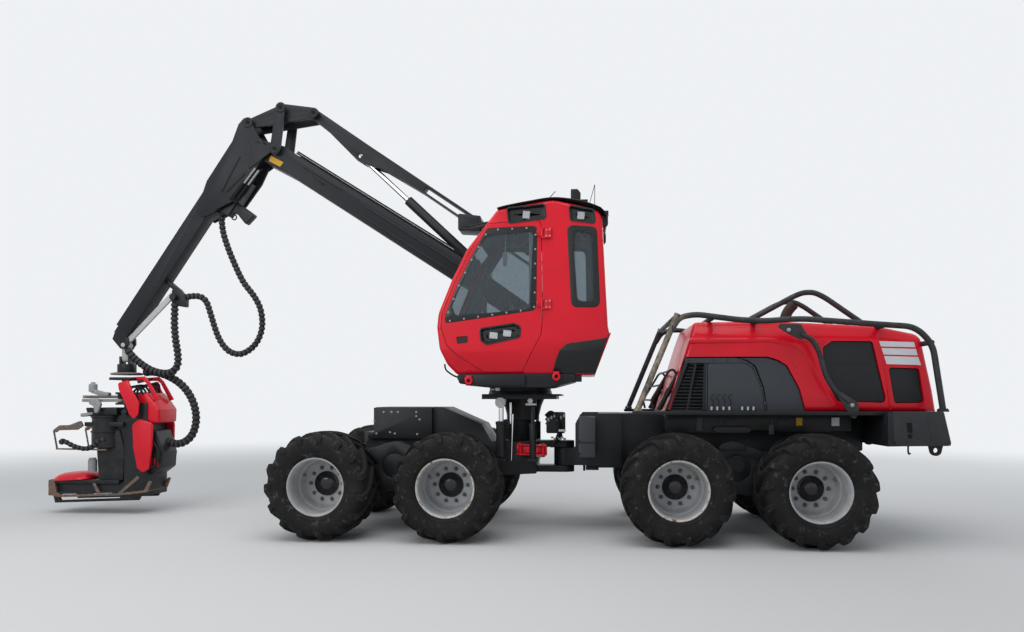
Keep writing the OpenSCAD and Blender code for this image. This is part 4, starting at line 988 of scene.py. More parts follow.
    # Service rails in front of the louvres
    rack = Piece("front_rack", "rear", *BLACK)
    for s in (-1, 1):
        y = s * 640
        frame_line = in_plane(y, [(1060, 1480), (1035, 1586), (1240, 1930), (1287, 1951), (1330, 1900),
                                  (1191, 1560), (1150, 1480)])
        rack.tube(bent(frame_line, 0.04), 0.014, 8)
        rack.rod(at(1120, y, 1476), at(1395, y, 1990), 0.024, 12)
        rack.rod(at(1210, y, 1640), at(1250, y, 1720), 0.034, 12)
    for x, z in ((1040, 1590), (1140, 1765), (1240, 1930)):
        rack.rod(at(x, -640, z), at(x, 640, z), 0.012, 8)
    rack.done()


# Distance of the guard's side rails from the middle, and their radii
GUARD_Y, RAIL, INNER_RAIL, STRUT_RAIL, CROSS_RAIL = 1000, 0.033, 0.032, 0.028, 0.029


def make_guard():
    """Bent rail guard over the hood; the leg by the cab is scraped down to a sandy film."""
    guard = Piece("guard_rails", "rear", "guard_paint", "dark_paint", 50)
    for s in (-1, 1):
        y = s * GUARD_Y
        leg = bent(in_plane(y, [(861, 1490), (1283, 2519)]), 0.1)
        end = bent(in_plane(y, [(1284, 2520), (1300, 2560)]), 0.1)
        guard.tube(leg + end[1:], 0.034, 14)
        guard.tube(bent(in_plane(y, [(1235, 2380), (1320, 2520), (1500, 2552), (1962, 2486), (2240, 2468),
                                     (2631, 2493), (3385, 2428), (3850, 2392), (4030, 2200), (4136, 1490)]),
                        0.16, 7), RAIL, 14)
        guard.tube(bent(in_plane(s * 450, [(2140, 2500), (2700, 2806), (2813, 2852), (2939, 2852),
                (3060, 2790), (3570, 2420)]), 0.12, 6), INNER_RAIL, 14)
        guard.tube(bent(in_plane(s * 1004, [(2640, 2320), (2763, 2262), (2835, 2125), (2905, 1851),
                (3010, 1680), (3150, 1570)]), 0.10, 6), STRUT_RAIL, 14)
        plate = fillet(plan([(2335, 2440), (2640, 2430), (2720, 2290), (2640, 2255), (2500, 2330)]), 0.03)
        guard.slab(plate, *span(s, 0.990, 1.014), 0.004)
        foot = fillet(plan([(2985, 1700), (3040, 1700), (3248, 1560), (3252, 1440), (3215, 1385),
                            (3170, 1400), (3094, 1531)]), 0.03)
        guard.slab(foot, *span(s, 0.996, 1.020), 0.004)
        guard.box(3160, 3235, *span(s, 960, 1012), 1440, 1500)
        for x in (861, 4136):
            guard.box(x - 45, x + 45, y - 48, y + 48, 1465, 1490)
            for d in (-30, 30):
                guard.bolt(at(x + d, y - 32, 1490), (0, 0, 1), 0.010)
                guard.bolt(at(x + d, y + 32, 1490), (0, 0, 1), 0.010)
    for x, z in ((1283, 2525), (1700, 2520), (2180, 2474), (3539, 2415), (4025, 2220)):
        guard.rod(at(x, -995, z), at(x, 995, z), CROSS_RAIL, 14)
    guard.done("guard")
    studs = Piece("guard_studs", "rear", "zinc")
    for s in (-1, 1):
        for x, y, z in ((2508, 1014, 2367), (3182, 1020, 1535)):
            studs.lathe([(0.022, 0), (0.022, 0.006), (0.012, 0.014), (0.002, 0.016)], at(x, s * y, z),
                        (0, s, 0), 16)
    studs.done()
    pipe = Piece("exhaust_tip", "rear", "exhaust_steel", "exhaust_steel")
    line = curve_through([at(2660, -210, 2400), at(2665, -210, 2560), at(2700, -215, 2660),
                          at(2765, -225, 2740)], 0.02)
    pipe.tube(line, 0.062, 24)
    pipe.done("exhaust")
    # Near-black disc on the closed pipe's end: painted shade of the open mouth
    mouth, way = Piece("exhaust_mouth_shade", "rear", "inside"), line[-1] - line[-2]
    mouth.lathe([(0.054, 0), (0.001, 0.0005)], line[-1] + way.normalized() * 0.001, way, 24)
    mouth.done()


def make_side():
    """What shows below the hood: rounded frames and bogies, fascia, plates, covers, bumper and hooks."""
    for node, w in (("rear_frame", 0.008), ("side_boxes", 0.010), ("middle_joint", 0.006),
                    ("level_platform", 0.006), ("bogie_fl", 0.014), ("bogie_fr", 0.014),
                    ("bogie_rl", 0.014), ("bogie_rr", 0.014)):
        eased(node, w)
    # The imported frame's nose reaches further forward at the top than the real one
    nose = [block(points, -1.0, 1.0)
            for points in ([(-3200, 1190), (-2335, 1190), (-2335, 1700), (-3200, 1700)],
                           [(-3200, 1010), (-2480, 1010), (-2480, 1300), (-3200, 1300)])]
    eased("front_frame", 0.010, cutters=nose)
    face = Piece("deck_fascia", "rear", *BLACK)
    for s in (-1, 1):
        face.box(820, 3500, *span(s, 1040, 1052), 1426, 1463, 3)
        face.box(1190, 1850, *span(s, 730, 741), 1216, 1392, 3)
        face.box(1870, 2440, *span(s, 730, 739), 1250, 1392, 3)
        face.box(2460, 3040, *span(s, 730, 741), 1232, 1392, 3)
        for x in (1230, 1500, 1800, 1900, 2400, 2490, 2780, 3010):
            face.bolt(at(x, s * 738, 1365), (0, s, 0), 0.009)
            face.bolt(at(x, s * 1052, 1444), (0, s, 0), 0.008)
    face.done()
    tabs = Piece("side_tabs", "rear", "bay_grey", "grey_paint")
    yellow = Piece("yellow_plates", "rear", "yellow")
    white = Piece("white_plates", "rear", "white_plastic")
    covers = Piece("frame_covers", "rear", *BLACK)
    for s in (-1, 1):
        tabs.box(1545, 1607, *span(s, 738, 746), 1238, 1392)
        tabs.box(2355, 2412, *span(s, 736, 746), 1198, 1308)
        tabs.rod(at(2384, s * 741, 1308), at(2384, s * 741, 1388), 0.008, 8)
        yellow.box(2658, 2724, *span(s, 739, 745), 1302, 1390, 2)
        white.box(3046, 3131, *span(s, 739, 745), 1298, 1391, 2)
        oval = fillet(plan([(1716, 1256), (1760, 1285), (2120, 1285), (2169, 1252), (2120, 1214),
                            (1760, 1214)]), 0.03)
        covers.slab(oval, *span(s, 0.760, 0.782), 0.006)
        covers.plate([(1775, 1015), (1830, 1090), (1950, 1120), (2070, 1090), (2140, 1015)], 0.06,
                     *span(s, 0.712, 0.730), 0.005)
        covers.lathe([(0.100, 0), (0.100, 0.012), (0.088, 0.014), (0.086, 0.004), (0.02, 0.004),
                      (0.001, 0.004)], at(2007, s * 706, 850), (0, s, 0), 28)
        for x, z in circle(94, 6):
            covers.bolt(at(2007 + x, s * 718, 850 + z), (0, s, 0), 0.007)
    for p in (covers, tabs, yellow, white):
        p.done()
    caps = Piece("bumper_caps", "rear", "bumper_grey", "dark_paint")
    # Near-black patch and disc on the bumper caps: painted shade of a slot and a hole
    dark = Piece("bumper_slot_shade", "rear", "inside")
    for s in (-1, 1):
        caps.plate([(3556, 1470), (4082, 1470), (4164, 1102), (3600, 1094), (3575, 1150)],
                   [0.02, 0.02, 0.03, 0.06, 0.02], *span(s, 1.120, 1.156), 0.012)
        caps.plate([(3900, 1430), (4062, 1430), (4128, 1130), (3960, 1130)], 0.02, *span(s, 1.150, 1.160),
                   0.004)
        dark.plate([(3694, 1350), (3752, 1350), (3760, 1240), (3704, 1240)], 0.012, *span(s, 1.150, 1.158))
        dark.lathe([(0.026, 0), (0.001, 0.0004)], at(3731, s * 1158.5, 1205), (0, s, 0), 20)
    caps.done()
    dark.done()
    hook = Piece("rear_hooks", "rear", *BLACK)
    for s in (-1, 1):
        hook.tube(curve_through(in_plane(s * 1100,
                [(3735, 1094), (3735, 1040), (3742, 1010), (3760, 1018)]), 0.02), 0.010, 8)
    hook.box(4085, 4110, -1050, 1050, 1160, 1260, 5)
    hook.done()


# Cab

CAB = [(379, 1880), (548, 2321), (525, 2434), (458, 3744), (-95, 3882), (-735, 3783), (-1094, 3321),
       (-1268, 2968), (-1420, 2590), (-1437, 2429), (-1408, 2186), (-1326, 2002), (-1210, 1880)]
CAB_BENDS = [0.05, 0.07, 0.1, 0.12, 0.35, 0.10, 0.45, 0.45, 0.3, 0.15, 0.2, 0.2, 0.08]
DOOR = [(-885, 1910), (-460, 1910), (-231, 2350), (-214, 2554), (-235, 3640), (-855, 3612), (-1055, 3290),
        (-1227, 2945), (-1373, 2580), (-1383, 2428), (-1315, 2225), (-1195, 2110)]
DOOR_BENDS = [0.02, 0.02, 0.1, 0.1, 0.05, 0.05, 0.4, 0.4, 0.2, 0.1, 0.12, 0.15]
DOOR_WINDOW = [(-1345, 2470), (-283, 2612), (-272, 3580), (-850, 3562), (-1018, 3270), (-1190, 2930),
               (-1330, 2580)]
DOOR_CLEAR = [(-1262, 2690), (-1215, 2560), (-362, 2625), (-318, 3520), (-862, 3478), (-1002, 3240),
              (-1150, 2940)]
QUARTER = [(112, 2641), (440, 2638), (402, 3553), (60, 3588)]
RIGHT_WINDOW = [(-1195, 2500), (345, 2640), (325, 3560), (-805, 3570), (-1035, 3200)]
LAMP_POCKETS = [[(-619, 3786), (-194, 3820), (-182, 3664), (-595, 3617)],
                [(92, 3798), (360, 3744), (376, 3596), (108, 3634)]]
LOW_POCKET = [(-926, 2404), (-540, 2458), (-470, 2424), (-478, 2312), (-850, 2232), (-914, 2272)]
CAB_LINE = fillet(plan(CAB), CAB_BENDS, 5)
CAB_Y0, CAB_Y1, CAB_MID, CAB_WALL = -1.03, 0.24, -0.395, 0.05

# The sides are widest between the hip and the waist: share of the width lost per metre above and below
HIP_Z, WAIST_Z, LEAN_ABOVE, TUCK_BELOW = 2.15, 2.6, 0.032, 0.63


def cab_lean(v):
    """The cab's sides lean in above the waist and tuck under below the hip."""
    k = 1.0
    if v.z > WAIST_Z:
        k -= LEAN_ABOVE * (v.z - WAIST_Z)
    elif v.z < HIP_Z:
        k -= TUCK_BELOW * (HIP_Z - v.z)
    return Vector((v.x, CAB_MID + (v.y - CAB_MID) * k, v.z))


CREASES[cab_lean] = ((), (HIP_Z, WAIST_Z))


def cab_openings():
    out = [block(QUARTER, -1.2, -0.9, r=0.07), block(RIGHT_WINDOW, 0.1, 0.4, r=0.08),
           block([(-1600, 2300), (-850, 2300), (-850, 3600), (-1600, 3600)], -0.935, 0.145, 0.04, r=0.05),
           block([(250, 2700), (750, 2700), (750, 3550), (250, 3550)], -0.935, 0.145, 0.04, r=0.05)]
    for pocket in LAMP_POCKETS:
        out += [block(pocket, -1.2, -0.94, r=0.02), block(pocket, 0.15, 0.4, r=0.02)]
    return out


FRONT = sorted((z, x) for x, z in CAB_LINE if x < STEER_X - 0.7)


def front_x(z):
    """Where the cab's front line stands at a height."""
    return float(np.interp(z, [q[0] for q in FRONT], [q[1] for q in FRONT]))


def front_strip(d0, d1, z0=2.26, z1=3.64, count=24):
    """Strip of the cab's section in front, between two depths under the skin."""
    heights = [z0 + (z1 - z0) * k / count for k in range(count + 1)]
    deep = [(front_x(z) + d0 * (1.0 if z < 2.5 else 1.15), z) for z in heights]
    deeper = [(front_x(z) + d1 * (1.0 if z < 2.5 else 1.15), z) for z in heights]
    return deep + deeper[::-1]


def back_strip(d0, d1, z0=2680, z1=3570):
    """The same at the back, where the section is straight."""
    ends = [(525 - 67 * (z - 2434) / 1310, z) for z in (z0, z1)]
    return plan([(x - 1000 * d0, z) for x, z in ends] + [(x - 1000 * d1, z) for x, z in ends[::-1]])


def along(points, gap, start=0.5):
    """Points at an even gap along a line of corner points."""
    out, left = [], gap * start
    for a, b in zip(points, points[1:]):
        a, b = Vector(a), Vector(b)
        length, t = (b - a).length, left
        while t < length:
            out.append(a.lerp(b, t / length))
            t += gap
        left = t - length
    return out


def cab_skin(name):
    """The whole cab as one rounded block."""
    return Piece(name).slab(CAB_LINE, CAB_Y0, CAB_Y1, 0.045, steps=4).split(cab_lean).raw()


def hollow(d):
    """The cab's block at the depth d under the skin."""
    return Piece("hollow").slab(shrunk(CAB_LINE, d), CAB_Y0 + d, CAB_Y1 - d, 0.03).split(cab_lean).raw()


def window_frame(name, outer, inner, y0, y1, edge, body, r=0.06):
    """Flat frame between two window outlines."""
    plate = Piece(name).slab(fillet(plan(outer), r), y0, y1, edge).split(cab_lean).raw()
    ring = cut(plate, block(inner, y0 - 0.1, y1 + 0.1, r=r * 0.8))
    dress(ring, body, "frit_black", None, (), 40, cab_lean)


def make_cab():
    """Cab sheet, lining, door, glass, lamps, roof, tray and what shows through the windows."""
    door_line = fillet(plan(DOOR), DOOR_BENDS)
    grown = Piece("grown").slab(shrunk(door_line, -0.006), -1.2, -0.979).raw()
    shell = cut(cab_skin("cab_sheet"), grown, *cab_openings(), hollow(CAB_WALL))
    dress(shell, CAB_BODY, *RED, ("cab_shell",), 32, cab_lean)
    grown = Piece("grown").slab(shrunk(door_line, -0.012), -1.2, -0.9).raw()
    lining = cut(hollow(0.052), grown, *cab_openings(), hollow(0.062))
    lining.name = "cab_lining"
    dress(lining, CAB_BODY, "trim_grey", None, (), 32, cab_lean)
    # Door: the same skin inside the door's outline, with its window cut out
    prism = Piece("prism").slab(door_line, -1.2, -0.980).raw()
    pane = block(DOOR_WINDOW, -1.3, -0.9, r=0.06)
    door = cut(cab_skin("door_sheet"), prism, keep="INTERSECT")
    latch = block([(-1207, 2318), (-1072, 2328), (-1072, 2248), (-1194, 2237)], -1.3, -0.995, r=0.015)
    door = cut(door, pane, block(LOW_POCKET, -1.3, -0.985, r=0.03), latch)
    body = DOOR_BODY
    dress(door, body, *RED, ("cab_door",), 32, cab_lean)
    hinge = Piece("door_hinges", body, *RED)
    fixed = Piece("shell_hinges", CAB_BODY, *RED)
    studs = Piece("hinge_bolts", CAB_BODY, "zinc")
    for z in (2680, 3487):
        hinge.box(-279, -236, -1064, -990, z - 30, z + 30, 5)
        hinge.rod(at(-220, -1052, z - 40), at(-220, -1052, z + 40), 0.014, 16)
        hinge.box(-250, -222, -1060, -1046, z - 36, z + 36, 3)
        for dx in (-268, -246):
            hinge.bolt(at(dx, -1064, z), (0, -1, 0), 0.006)
        for d in (-51, 51):
            fixed.box(-230, -150, -1060, -1044, z + d - 9, z + d + 9, 3)
        fixed.rod(at(-220, -1052, z - 60), at(-220, -1052, z + 60), 0.007, 12)
        fixed.box(-185, -112, -1052, -990, z - 58, z + 58, 6)
        for dx, dz in ((-168, -36), (-130, -36), (-168, 36), (-130, 36)):
            studs.bolt(at(dx, -1052, z + dz), (0, -1, 0), 0.007)
    hinge.done()
    fixed.done()
    studs.done()
    # Window borders, gaskets and glass
    window_frame("door_border", DOOR_WINDOW, DOOR_CLEAR, -1.027, -1.019, 0.002, body)
    inner_q = [(182, 2712), (368, 2700), (350, 3490), (128, 3520)]
    window_frame("quarter_gasket", QUARTER, inner_q, -1.036, -1.005, 0.008, CAB_BODY, 0.07)
    inner_r = [(-1110, 2560), (285, 2690), (268, 3505), (-780, 3515), (-990, 3180)]
    window_frame("right_gasket", RIGHT_WINDOW, inner_r, 0.212, 0.243, 0.008, CAB_BODY, 0.08)
    door_pane = Piece("door_pane", body, "tinted_glass", "tinted_glass")
    door_pane.slab(fillet(shrunk(plan(DOOR_WINDOW), 0.003), 0.06), -1.020, -1.015)
    door_pane.done("door_glass", warp=cab_lean)
    panes = Piece("cab_panes", CAB_BODY, "tinted_glass", "tinted_glass")
    panes.slab(fillet(shrunk(plan(QUARTER), 0.004), 0.07), -1.018, -1.012)
    panes.slab(fillet(shrunk(plan(RIGHT_WINDOW), 0.004), 0.08), 0.222, 0.228)
    panes.slab(front_strip(0.016, 0.022), -0.955, 0.165)
    panes.slab(back_strip(0.016, 0.022), -0.955, 0.165)
    panes.done("cab_glass", warp=cab_lean)
    border = Piece("screen_border", CAB_BODY, "frit_black")
    for y0, y1 in ((-0.945, -0.885), (0.095, 0.155)):
        border.slab(front_strip(0.010, 0.018), y0, y1, 0.002)
        border.slab(back_strip(0.006, 0.014), y0, y1, 0.002)
    border.slab(front_strip(0.009, 0.018, 2.26, 2.42), -0.945, 0.155)
    border.slab(front_strip(0.009, 0.018, 3.45, 3.64), -0.945, 0.155)
    border.box(470, 492, -940, 150, 2680, 2740, 4)
    border.box(450, 475, -940, 150, 3510, 3570, 4)
    border.done(warp=cab_lean)
    dots = Piece("pane_bolts", body, "zinc")
    line = [(x, 0, z) for x, z in shrunk(fillet(plan(DOOR_WINDOW), 0.06, 3), 0.022)]
    for p in along(line + line[:1], 0.165, 0.3):
        if p.z > 2.50:
            place = cab_lean(Vector((p.x, -1.027, p.z)))
            dots.lathe([(0.011, -0.003), (0.011, 0.003), (0.006, 0.007), (0.001, 0.0075)], place,
                       (0, -1, 0), 12)
    dots.done()
    dots = Piece("screen_bolts", CAB_BODY, "zinc")
    keep = [(front_x(z / 100) + 0.010, z / 100) for z in range(232, 360, 4)]
    for y in (-0.915, 0.125):
        for p in along([(x, y, z) for x, z in keep], 0.15):
            out = Vector((-1, 0, 0.35 if p.z > 2.6 else -0.1))
            place = cab_lean(p)
            dots.lathe([(0.011, -0.004), (0.011, 0.004), (0.006, 0.008), (0.001, 0.0085)], place, out, 10)
    dots.done()
    # Lamp pockets and lamps
    pockets = Piece("lamp_pockets", CAB_BODY, "gloss_black")
    lamps = Piece("square_lamps", CAB_BODY, "lamp", "lamp")
    for s in (-1, 1):
        for points, (x, z) in zip(LAMP_POCKETS, ((-402, 3712), (222, 3690))):
            line = fillet(plan(points), 0.02)
            rings = [[(px, CAB_MID + s * (0.635 - d), pz) for px, pz in (shrunk(line, i) if i else line)]
                     for i, d in ((-0.012, -0.004), (-0.012, -0.008), (0.004, -0.008), (0.008, 0.0),
                                  (0.016, 0.07), (0.06, 0.075))]
            pockets.skin(rings, caps="end")
            y = CAB_MID + s * 0.635
            m = Matrix.Translation(at(x, (y - s * 0.030) * 1000, z)) @ Matrix.Rotation(radians(6), 4, "Y")
            lamps.skin([[(px * k, s * h, pz * k) for px, pz in ((-0.042, -0.045), (0.042, -0.045),
                    (0.042, 0.045), (-0.042, 0.045))]
                        for k, h in ((0.8, -0.05), (1, -0.03), (1, 0.0), (0.92, 0.006), (0.5, 0.010))], m)
    pockets.done(warp=cab_lean)
    lamps.done("cab_lamps", warp=cab_lean)
    low = Piece("door_lamp_pocket", body, "gloss_black")
    line = fillet(plan(LOW_POCKET), 0.03)
    low.skin([[(px, -1.03 + d, pz) for px, pz in (shrunk(line, i) if i else line)]
              for i, d in ((-0.014, -0.002), (-0.012, -0.008), (0.004, -0.008), (0.010, 0.0),
                           (0.020, 0.040), (0.06, 0.042))], caps="end")
    low.plate([(-1200, 2312), (-1078, 2321), (-1078, 2254), (-1188, 2243)], 0.012, -1.016, -0.996)
    low.plate([(-1180, 2300), (-1150, 2302), (-1150, 2262), (-1176, 2258)], 0.008, -1.022, -1.010)
    low.plate([(-1130, 2302), (-1100, 2304), (-1100, 2266), (-1130, 2262)], 0.008, -1.022, -1.010)
    low.done(warp=cab_lean)
    low = Piece("door_lamps", body, "lamp", "lamp")
    for x, z in ((-775, 2331), (-619, 2353)):
        m = Matrix.Translation(at(x, -1010, z)) @ Matrix.Rotation(radians(6), 4, "Y")
        low.skin([[(px * k, -h, pz * k) for px, pz in ((-0.046, -0.036), (0.046, -0.036), (0.046, 0.036),
                                                       (-0.046, 0.036))]
                  for k, h in ((0.8, -0.02), (1, -0.010), (1, 0.008), (0.92, 0.012), (0.5, 0.015))], m)
    low.done(warp=cab_lean)
    # Black panel low at the back, roof cap and visor
    panel = Piece("rear_quarter_panel", CAB_BODY, "frit_black")
    panel.plate([(-107, 1900), (-60, 2060), (-19, 2158), (60, 2232), (486, 2290), (520, 2312), (382, 1896)],
                [0.01, 0.1, 0.05, 0.08, 0.03, 0.02, 0.02], -1.038, -1.0, 0.006)
    panel.slab(plan([(379, 1875), (560, 2352), (552, 2356), (535, 2330), (370, 1892)]), -1.0, 0.21, 0.006)
    panel.done(warp=cab_lean)
    cap = Piece("roof_cap", CAB_BODY, *BLACK)
    upper = [(-740, 3796), (-640, 3822), (-347, 3872), (-88, 3902), (201, 3862), (449, 3772), (520, 3672)]
    lower = [(506, 3664), (440, 3756), (198, 3846), (-88, 3887), (-346, 3857), (-640, 3807), (-735, 3784)]
    cap.slab([(p.x, p.z) for p in curve_through([at(x, 0, z) for x, z in upper], 0.06)]
             + [(p.x, p.z) for p in curve_through([at(x, 0, z) for x, z in lower], 0.06)], -1.040, 0.250,
             0.008)
    cap.slab(plan([(-620, 3822), (-1162, 3722), (-1160, 3708), (-620, 3800)]), -0.46, -0.36, 0.003)
    cap.done(warp=cab_lean)
    top = Piece("roof_fittings", CAB_BODY, *BLACK)
    top.plate([(94, 4136), (175, 4136), (213, 4090), (213, 4005), (94, 4010)], 0.012, -0.46, -0.34, 0.008)
    for sizes in ((100, 215, -470, -330, 3870, 4012, 6), (215, 300, -450, -350, 3960, 4010, 6),
                  (215, 270, -440, -360, 3850, 3965, 4), (-260, -190, -640, -560, 3880, 3930, 5)):
        top.box(*sizes)
    top.tube(in_plane(-600, [(-225, 3925), (-85, 4073)]), 0.005, 6)
    top.box(285, 330, -640, -560, 3840, 3880, 5)
    top.tube(in_plane(-600, [(306, 3870), (380, 4141)]), 0.004, 6)
    top.tube(in_plane(-540, [(380, 3860), (382, 4150)]), 0.004, 6)
    top.box(470, 535, -900, -840, 3700, 3760, 6)
    top.plate([(486, 3722), (528, 3712), (530, 3600), (500, 3560), (476, 3640)], 0.02, -0.93, -0.86, 0.008)
    top.plate([(486, 3722), (528, 3712), (530, 3600), (500, 3560), (476, 3640)], 0.02, 0.07, 0.14, 0.008)
    top.box(462, 500, -880, 110, 3700, 3722, 4)
    top.done()
    wiper = Piece("screen_wiper", CAB_BODY, "satin_black")
    wiper.tube(curve_through(in_plane(-330, [(-1425, 2300), (-1475, 2420), (-1478, 2600), (-1400, 2840)]),
                             0.05), 0.008, 8)
    wiper.tube(curve_through([at(-1425, -260, 2300), at(-1470, -262, 2420), at(-1470, -280, 2600),
                              at(-1402, -322, 2830)], 0.05), 0.006, 8)
    wiper.tube(curve_through([at(-1452, -340, 2560), at(-1418, -338, 2680), at(-1300, -330, 2960),
                              at(-1215, -325, 3140)], 0.05), 0.010, 8)
    wiper.box(-1440, -1395, -380, -210, 2255, 2330, 8)
    wiper.done()
    # Tray and tow eyes below the cab
    tray = Piece("cab_tray", CAB_BODY, *DARK)
    tray.plate([(-1224, 1866), (-1180, 1895), (155, 1895), (161, 1859), (153, 1810), (-121, 1735),
                (-853, 1735), (-1183, 1781)], 0.02, -0.93, 0.12, 0.012)
    tray.box(-1190, -1120, -960, -920, 1790, 1866, 8)
    tray.box(60, 230, -900, -860, 1800, 1880, 8)
    tray.tube(curve_through(in_plane(-700, [(-1400, 2020), (-1385, 1950), (-1290, 1880), (-1200, 1850)]),
                            0.03), 0.010, 8)
    tray.done()
    eyes = Piece("cab_eyes", CAB_BODY, *RED)
    for x, z in ((-1068, 1812), (-59, 1858)):
        eyes.tube([at(x + dx, -985, z + dz) for dx, dz in EYE], 0.014, 10)
        eyes.plate([(x - 26, z + 20), (x + 26, z + 20), (x + 40, z + 60), (x - 40, z + 60)], 0.008, -0.994,
                   -0.93, 0.004)
    eyes.plate([(-1150, 1800), (-1090, 1780), (-1080, 1850), (-1130, 1860)], 0.015, -0.955, -0.935, 0.004)
    eyes.done()
    # Inside: seat, armrests, sticks, screen, mirror, pale pillar trim
    inside = Piece("cab_controls", CAB_BODY, "trim_grey")
    inside.box(-420, -60, -560, -230, 1935, 2230, 30)
    inside.box(-1080, -760, -700, -90, 1935, 2010, 20)
    for s in (-1, 1):
        y = -395 + s * 330
        inside.plate([(-640, 2470), (-560, 2530), (-180, 2530), (-160, 2450), (-560, 2430)], 0.03,
                     (y - 60) / 1000, (y + 60) / 1000, 0.02)
        inside.box(-355, -235, y - 20 + (-s * 60), y + 20 + (-s * 60), 2230, 2460, 8)
        inside.rod(at(-575, y, 2510), at(-595, y, 2640), 0.016, 12)
        inside.lathe([(0.012, 0), (0.030, 0.020), (0.034, 0.050), (0.026, 0.085), (0.010, 0.098)],
                     at(-595, y, 2620), (-0.1, 0, 1), 14)
    inside.rod(at(-1060, 60, 2000), at(-1010, 60, 2900), 0.020, 12)
    inside.box(-1040, -1000, -90, 120, 2720, 2900, 12)
    inside.done("cab_seat")
    pale = Piece("pillar_trim", CAB_BODY, "trim_pale")
    pale.box(-372, -300, -972, -946, 2560, 3560, 10)
    pale.box(60, 100, -960, -930, 2600, 3560, 10)
    pale.plate([(-690, 3310), (-620, 3300), (-635, 3140), (-675, 3135)], 0.03, -0.905, -0.890, 0.006)
    pale.rod(at(-655, -900, 3300), at(-640, -930, 3560), 0.006, 8)
    pale.plate([(-360, 2440), (-330, 2445), (-300, 3560), (-340, 3560)], 0.01, 0.16, 0.175, 0.004)
    pale.done()
    cushion("seat_pad", (-575, -50, -640, -150, 2270, 2400), 4)
    cushion("seat_back", (-110, 20, -625, -165, 2400, 3010), 12)
    cushion("head_rest", (-40, 50, -500, -290, 3030, 3200), 12)


def bulged(t, power):
    """Power of a sine or cosine that keeps its sign, for rounded blocks."""
    return abs(t) ** power * (1 if t >= 0 else -1)


def cushion(name, box, lean):
    """Crowned seat pad: a rounded block with sewn channels in its two wide faces."""
    x0, x1, y0, y1, z0, z1 = box
    a, b, c = (x1 - x0) / 2000, (y1 - y0) / 2000, (z1 - z0) / 2000
    flat = c < a
    centre = at((x0 + x1) / 2, (y0 + y1) / 2, (z0 + z1) / 2)
    turn = Matrix.Translation(centre) @ Matrix.Rotation(radians(lean), 4, "Y")
    rings, steps = [], 24
    for i in range(steps + 1):
        v = -pi / 2 + pi * i / steps
        h, s = bulged(sin(v), 0.45), max(0.02, bulged(cos(v), 0.45))
        ring = []
        for k in range(40):
            u = 2 * pi * k / 40
            x, y = bulged(cos(u), 0.35) * s, bulged(sin(u), 0.35) * s
            q = Vector((a * x, b * y, c * h)) if flat else Vector((a * h, b * y, c * x))
            groove = 0
            if abs(h) > 0.6:
                seam = abs(((q.y / b + 1) * 2.0) % 1.0 - 0.5)
                groove = 0.012 * abs(h) * max(0.0, 1 - seam / 0.08)
            if flat:
                q.z *= 1 - groove / c
            else:
                q.x *= 1 - groove / a
            ring.append(turn @ q)
        rings.append(ring)
    pad = Piece(name, CAB_BODY, "seat_fabric", "seat_fabric", 60).skin(rings).done()


# Crane

# The main boom's rise, the middle of the crane and its pins, from the steering axis
CRANE_UP = radians(32.3)
CRANE_Y = 600
KING, ELBOW, ROCKER, KNEE = (-476, 2718), (-4204, 5075), (-3939, 5007), (-3859, 5568)
TUBE_LINK, STRUT_END, STRUT_FOOT, STRUT_EYE = (-4343, 5396), (-3436, 5518), (-5, 3149), (-2797, 4930)
ELBOW_PLATE = [(-4061, 4869), (-3903, 4788), (-3855, 4848), (-4037, 4945)]
# Pins of each crane piece, with the radii of their caps
PINS = {
    "main_boom": ((ROCKER, 0.062),),
    "link": ((KNEE, 0.070), (TUBE_LINK, 0.078), (STRUT_END, 0.066)),
    "strut": ((STRUT_END, 0.062), (STRUT_FOOT, 0.06), (STRUT_EYE, 0.05)),
    "outer_boom": ((ELBOW, 0.085), (TUBE_LINK, 0.070)),
    "lever": ((KING, 0.085),),
}
# Surfaces of CAD nodes, for finding where a fitting sits
SURFACES = {}


def skin_y(node, x, z, side=-1):
    """Where a line along Y first meets a CAD node, in millimetres."""
    if node not in SURFACES:
        mesh = NODES[node].data
        SURFACES[node] = BVHTree.FromPolygons([v.co for v in mesh.vertices],
                                              [p.vertices for p in mesh.polygons])
    place = SURFACES[node].ray_cast(at(x, side * 4000, z), Vector((0, -side, 0)))[0]
    return place.y * 1000 if place else None


def along_boom(a, b, foot=KING, up=CRANE_UP):
    """Point a along and b above a boom's line, as (x, z)."""
    return (foot[0] - a * cos(up) + b * sin(up), foot[1] + a * sin(up) + b * cos(up))


def pin_cap(piece, dark, node, place, r):
    """Boss ring on both ends of a pin, with a near-black disc in its centre as painted shade of the pin's
    hole.
    """
    for side in (-1, 1):
        y = skin_y(node, place[0], place[1], side)
        if y is None:
            continue
        out = (0, side, 0)
        piece.lathe([(r, -0.010), (r, 0.004), (r - 0.006, 0.010), (r * 0.62, 0.010), (r * 0.55, 0.004),
                     (0.001, 0.003)], at(place[0], y, place[1]), out, 28)
        # Near-black disc: painted shade of the pin's hole
        dark.lathe([(r * 0.40, 0.0), (r * 0.40, 0.0055), (0.001, 0.006)], at(place[0], y, place[1]), out,
                   20)


def rib(piece, a, b, y, r, end=0.04):
    """Pressed rib between two points of one face, pointed at its ends."""
    piece.tube([at(a[0], y, a[1]).lerp(at(b[0], y, b[1]), t) for t in (0, end, 0.5, 1 - end, 1)],
               lambda t: 0.004 if t in (0, 1) else r, 8)


